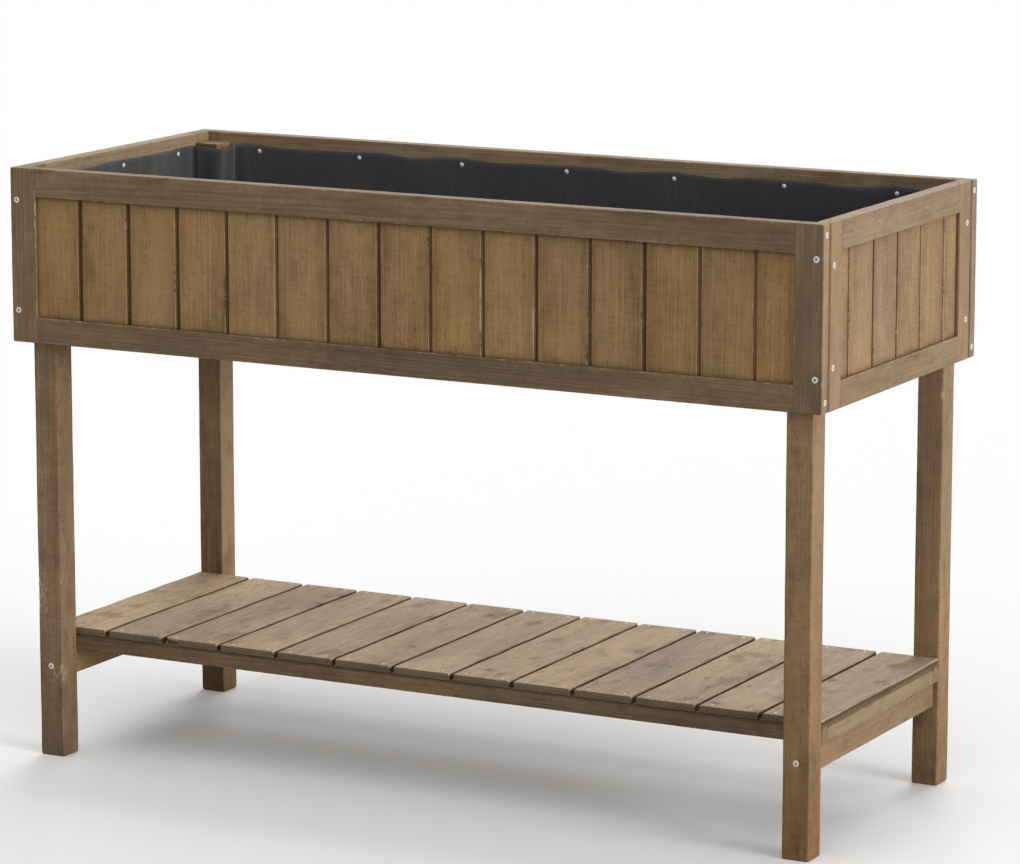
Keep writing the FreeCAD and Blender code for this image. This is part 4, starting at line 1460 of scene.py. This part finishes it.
def screw_places():
    """Head places and facing directions of the screws, by CAD node."""
    places = {node: [] for node in SCREW_LENGTHS}
    half_x, half_y, top = cad_high
    bottom = span("front_bottom_rail", Z_AXIS)[0]
    panel = np.ptp(span("front_bottom_rail", Y_AXIS))
    inner_y = half_y - panel
    leg_x = np.mean(span("leg_rear_right", X_AXIS))
    stretcher_z = np.mean(span("shelf_stretcher_left", Z_AXIS))
    batten, stretcher = span("shelf_batten_right", X_AXIS), span("shelf_stretcher_right", X_AXIS)
    batten_x = (max(batten[0], stretcher[0]) + min(batten[1], stretcher[1])) / 2
    batten_z = span("shelf_batten_right", Z_AXIS)[1]
    for x, y in CORNERS:
        for z in (bottom + RAIL_SCREW_INSET, top - RAIL_SCREW_INSET):
            places["frame_screws"].append(((x * half_x, y * (half_y - panel / 2), z), (x, 0, 0)))
            places["frame_screws"].append(((x * (half_x - panel / 2), y * inner_y, z), (0, y, 0)))
        for z in CORNER_SCREW_HEIGHTS:
            places["corner_screws"].append(((x * (half_x - panel / 2), y * half_y, z), (0, y, 0)))
        for z in LEG_SCREW_HEIGHTS:
            places["leg_screws"].append(((x * half_x, y * (inner_y - LEG_SCREW_INSET), z), (x, 0, 0)))
        places["stretcher_screws"].append(((x * leg_x, y * inner_y, stretcher_z), (0, y, 0)))
        places["shelf_screws"].append(((x * batten_x, y * BATTEN_SCREW_PLACE, batten_z), (0, 0, 1)))
    cleat_x = np.add.outer([np.mean(span(node, X_AXIS)) for node in CLEAT_SLATS],
                           (-CLEAT_SCREW_SPREAD, CLEAT_SCREW_SPREAD)).ravel()
    bearer_x = floor_middles()[1:-1:2]
    lines = (("shelf_screws", "shelf_cleat", cleat_x, CLEAT_SCREW_RISE),
             ("bearer_screws", "floor_bearer", bearer_x, BEARER_SCREW_RISE))
    for side, y in (("front", -1), ("rear", 1)):
        for node, held, line, rise in lines:
            face = y * span(f"{held}_{side}", y * Y_AXIS)[0]
            z = span(f"{held}_{side}", Z_AXIS)[0] + rise
            places[node] += [((x, face, z), (0, -y, 0)) for x in line]
    return places


class BED_OT_screws(bpy.types.Operator):
    """Countersunk screws with cross recesses"""

    bl_idname = "bed.make_screws"
    bl_label = "Make Screws"

    def execute(self, context):
        """Copy one screw of the right length to each place."""
        for node, rows in screw_places().items():
            points, facing = (np.array(column, float) for column in zip(*rows))
            shell = screw_shell(SCREW_LENGTHS[node], context.scene.bed_sizes.head_proud)
            put_piece(f"{node}_zinc", [copies(shell, points, facing, seeded(node))], "zinc", node)
        return {"FINISHED"}


class BED_OT_pins(bpy.types.Operator):
    """Nails of the slats and of the floor boards, and tacks of the liner"""

    bl_idname = "bed.make_pins"
    bl_label = "Make Nails and Tacks"

    def execute(self, context):
        """Copy a turned nail and a turned tack to each place."""
        slats = sorted(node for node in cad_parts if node.startswith("shelf_slat"))
        pair = (-NAIL_SPREAD, NAIL_SPREAD)
        shelf_x = np.add.outer([np.mean(span(node, X_AXIS)) for node in slats], pair).ravel()
        shelf_y = np.mean(span("shelf_rail_rear_left", Y_AXIS))
        shelf_z = span(slats[0], Z_AXIS)[1]
        floor_x = np.add.outer(floor_middles(), pair).ravel()
        floor_x = floor_x[abs(floor_x) < span("floor_bearer_rear", X_AXIS)[1] - NAIL_HEAD * MM]
        floor_y = np.mean(span("floor_bearer_rear", Y_AXIS))
        floor_z = span("floor_boards", Z_AXIS)[1]
        rows = ((shelf_x, shelf_y, shelf_z), (floor_x, floor_y, floor_z))
        points = np.array([(x, y, z) for line, reach, z in rows for y in (-reach, reach) for x in line])
        facing = np.tile(Z_AXIS, (len(points), 1))
        nails = copies(turned_shell(NAIL_PROFILE, 10), points, facing, seeded("nails"))
        put_piece("slat_nails_steel", [nails], "nail_steel", "slat_nails")
        tacks = copies(turned_shell(TACK_PROFILE, 16), *tack_places(), seeded("tacks"))
        put_piece("liner_tacks_steel", [tacks], "nail_steel", "liner_tacks")
        return {"FINISHED"}


FLOOR_REACH = 60.0
CAMERA_PLACE = (2.5947, -4.8399, 1.4534)
CAMERA_AZIMUTH = 27.926
CAMERA_ELEVATION = 10.584
CAMERA_LENS = 159.3
SENSOR_WIDTH = 36.0
CLIP_END = 200.0

# Azimuth, elevation and angle of each sun, in degrees
SUNS = {"key": (80, 8, 30), "fill": (-5, 25, 50), "back": (190, 28, 40), "top": (20, 80, 90)}


def toward(azimuth, elevation):
    """Direction at an azimuth, from the front toward the right, and an elevation, in degrees."""
    turn, lift = math.radians(azimuth), math.radians(elevation)
    return Vector((math.sin(turn) * math.cos(lift), -math.cos(turn) * math.cos(lift), math.sin(lift)))


def put_turned(name, data, place, turn):
    """Object for a lamp or a camera at a place, turned by a quaternion."""
    made = bpy.data.objects.new(name, data)
    made.location = place
    made.rotation_mode = "QUATERNION"
    made.rotation_quaternion = turn
    bpy.context.scene.collection.objects.link(made)
    return made


def add_sun(name, level, azimuth, elevation, angle):
    """Sun from a direction, with a level at which a facing white surface is white."""
    lamp = bpy.data.lights.new(name, "SUN")
    lamp.energy = math.pi * level
    lamp.angle = math.radians(angle)
    put_turned(name, lamp, (0, 0, 0), toward(azimuth, elevation).to_track_quat("Z", "Y"))


def seen(blank):
    """1 for rays from the camera, from gloss or through glass, and 0 for the rest."""
    path = blank.node("ShaderNodeLightPath", None, None, "Is Camera Ray")
    glossy, through = path.other("Is Glossy Ray"), path.other("Is Transmission Ray")
    return path.math("MAXIMUM", glossy).math("MAXIMUM", through)


def lay_floor(stage):
    """Plain floor, pale where it is seen and duller where its light falls back on the bed."""
    reach = FLOOR_REACH
    mesh = bpy.data.meshes.new("studio_floor")
    corners = [(-reach, -reach, 0), (reach, -reach, 0), (reach, reach, 0), (-reach, reach, 0)]
    mesh.from_pydata(corners, [], [(0, 1, 2, 3)])
    floor = bpy.data.objects.new("studio_floor", mesh)
    bpy.context.scene.collection.objects.link(floor)
    material, blank = start_material("studio_floor")
    dull = blank.node("ShaderNodeBsdfDiffuse", None, {"Color": opaque(stage.bounce)})
    pale = blank.node("ShaderNodeBsdfDiffuse", None, {"Color": opaque(stage.floor)})
    surface = blank.node("ShaderNodeMixShader", None, {0: seen(blank), 1: dull, 2: pale})
    surface.show("ShaderNodeOutputMaterial")
    mesh.materials.append(material)


def light_sky(stage):
    """Even sky, white where it is seen."""
    world = bpy.data.worlds.new("studio")
    bpy.context.scene.world = world
    world.use_nodes = True
    world.node_tree.nodes.clear()
    blank = Wire(world.node_tree)
    even, white = (blank.node("ShaderNodeBackground", None, {"Color": (1, 1, 1, 1), "Strength": level})
                   for level in (stage.sky, 1.0))
    surface = blank.node("ShaderNodeMixShader", None, {0: seen(blank), 1: even, 2: white})
    surface.show("ShaderNodeOutputWorld")


class BED_OT_stage(bpy.types.Operator):
    """Pale floor, soft light and the camera"""

    bl_idname = "bed.set_stage"
    bl_label = "Set Stage"

    def execute(self, context):
        """Lay the floor, light it from four sides and place the camera."""
        scene = context.scene
        stage = scene.bed_stage
        scene.view_settings.view_transform = "Standard"
        lay_floor(stage)
        light_sky(stage)
        for name, place in SUNS.items():
            add_sun(name, getattr(stage, name), *place)
        lens = bpy.data.cameras.new("camera")
        lens.lens = CAMERA_LENS
        lens.sensor_width = SENSOR_WIDTH
        lens.clip_end = CLIP_END
        ahead = -toward(CAMERA_AZIMUTH, CAMERA_ELEVATION)
        scene.camera = put_turned("camera", lens, CAMERA_PLACE, ahead.to_track_quat("-Z", "Y"))
        return {"FINISHED"}


class BED_PT_sidebar(bpy.types.Panel):
    """Sidebar panel with the settings and the steps"""

    bl_idname = "BED_PT_sidebar"
    bl_label = "Raised Garden Bed"
    bl_space_type = "VIEW_3D"
    bl_region_type = "UI"
    bl_category = "Garden Bed"

    def draw(self, context):
        """List the settings of each group and a button for each step."""
        for group in (context.scene.bed_colours, context.scene.bed_sizes, context.scene.bed_stage):
            column = self.layout.column()
            for name in group.__annotations__:
                column.prop(group, name)
        for step in STEPS:
            self.layout.operator(step.bl_idname)


STEPS = (BED_OT_legs, BED_OT_frames, BED_OT_boards, BED_OT_shelf, BED_OT_floor, BED_OT_liner, BED_OT_screws,
         BED_OT_pins, BED_OT_stage)
GROUPS = {"bed_colours": BedColours, "bed_sizes": BedSizes, "bed_stage": BedStage}


def register():
    """Register the classes and hang the settings on the scene."""
    for kind in (*GROUPS.values(), *STEPS, BED_PT_sidebar):
        bpy.utils.register_class(kind)
    for name, kind in GROUPS.items():
        setattr(bpy.types.Scene, name, PointerProperty(type=kind))


def unregister():
    """Take the settings and the classes away again."""
    for name in GROUPS:
        delattr(bpy.types.Scene, name)
    for kind in (BED_PT_sidebar, *reversed(STEPS), *reversed(GROUPS.values())):
        bpy.utils.unregister_class(kind)


def main():
    """Build the bed step by step."""
    register()
    bpy.ops.bed.make_legs()
    bpy.ops.bed.make_frames()
    bpy.ops.bed.make_boards()
    bpy.ops.bed.make_shelf()
    bpy.ops.bed.make_floor()
    bpy.ops.bed.make_liner()
    bpy.ops.bed.make_screws()
    bpy.ops.bed.make_pins()
    bpy.ops.bed.set_stage()


if __name__ == "__main__":
    main()
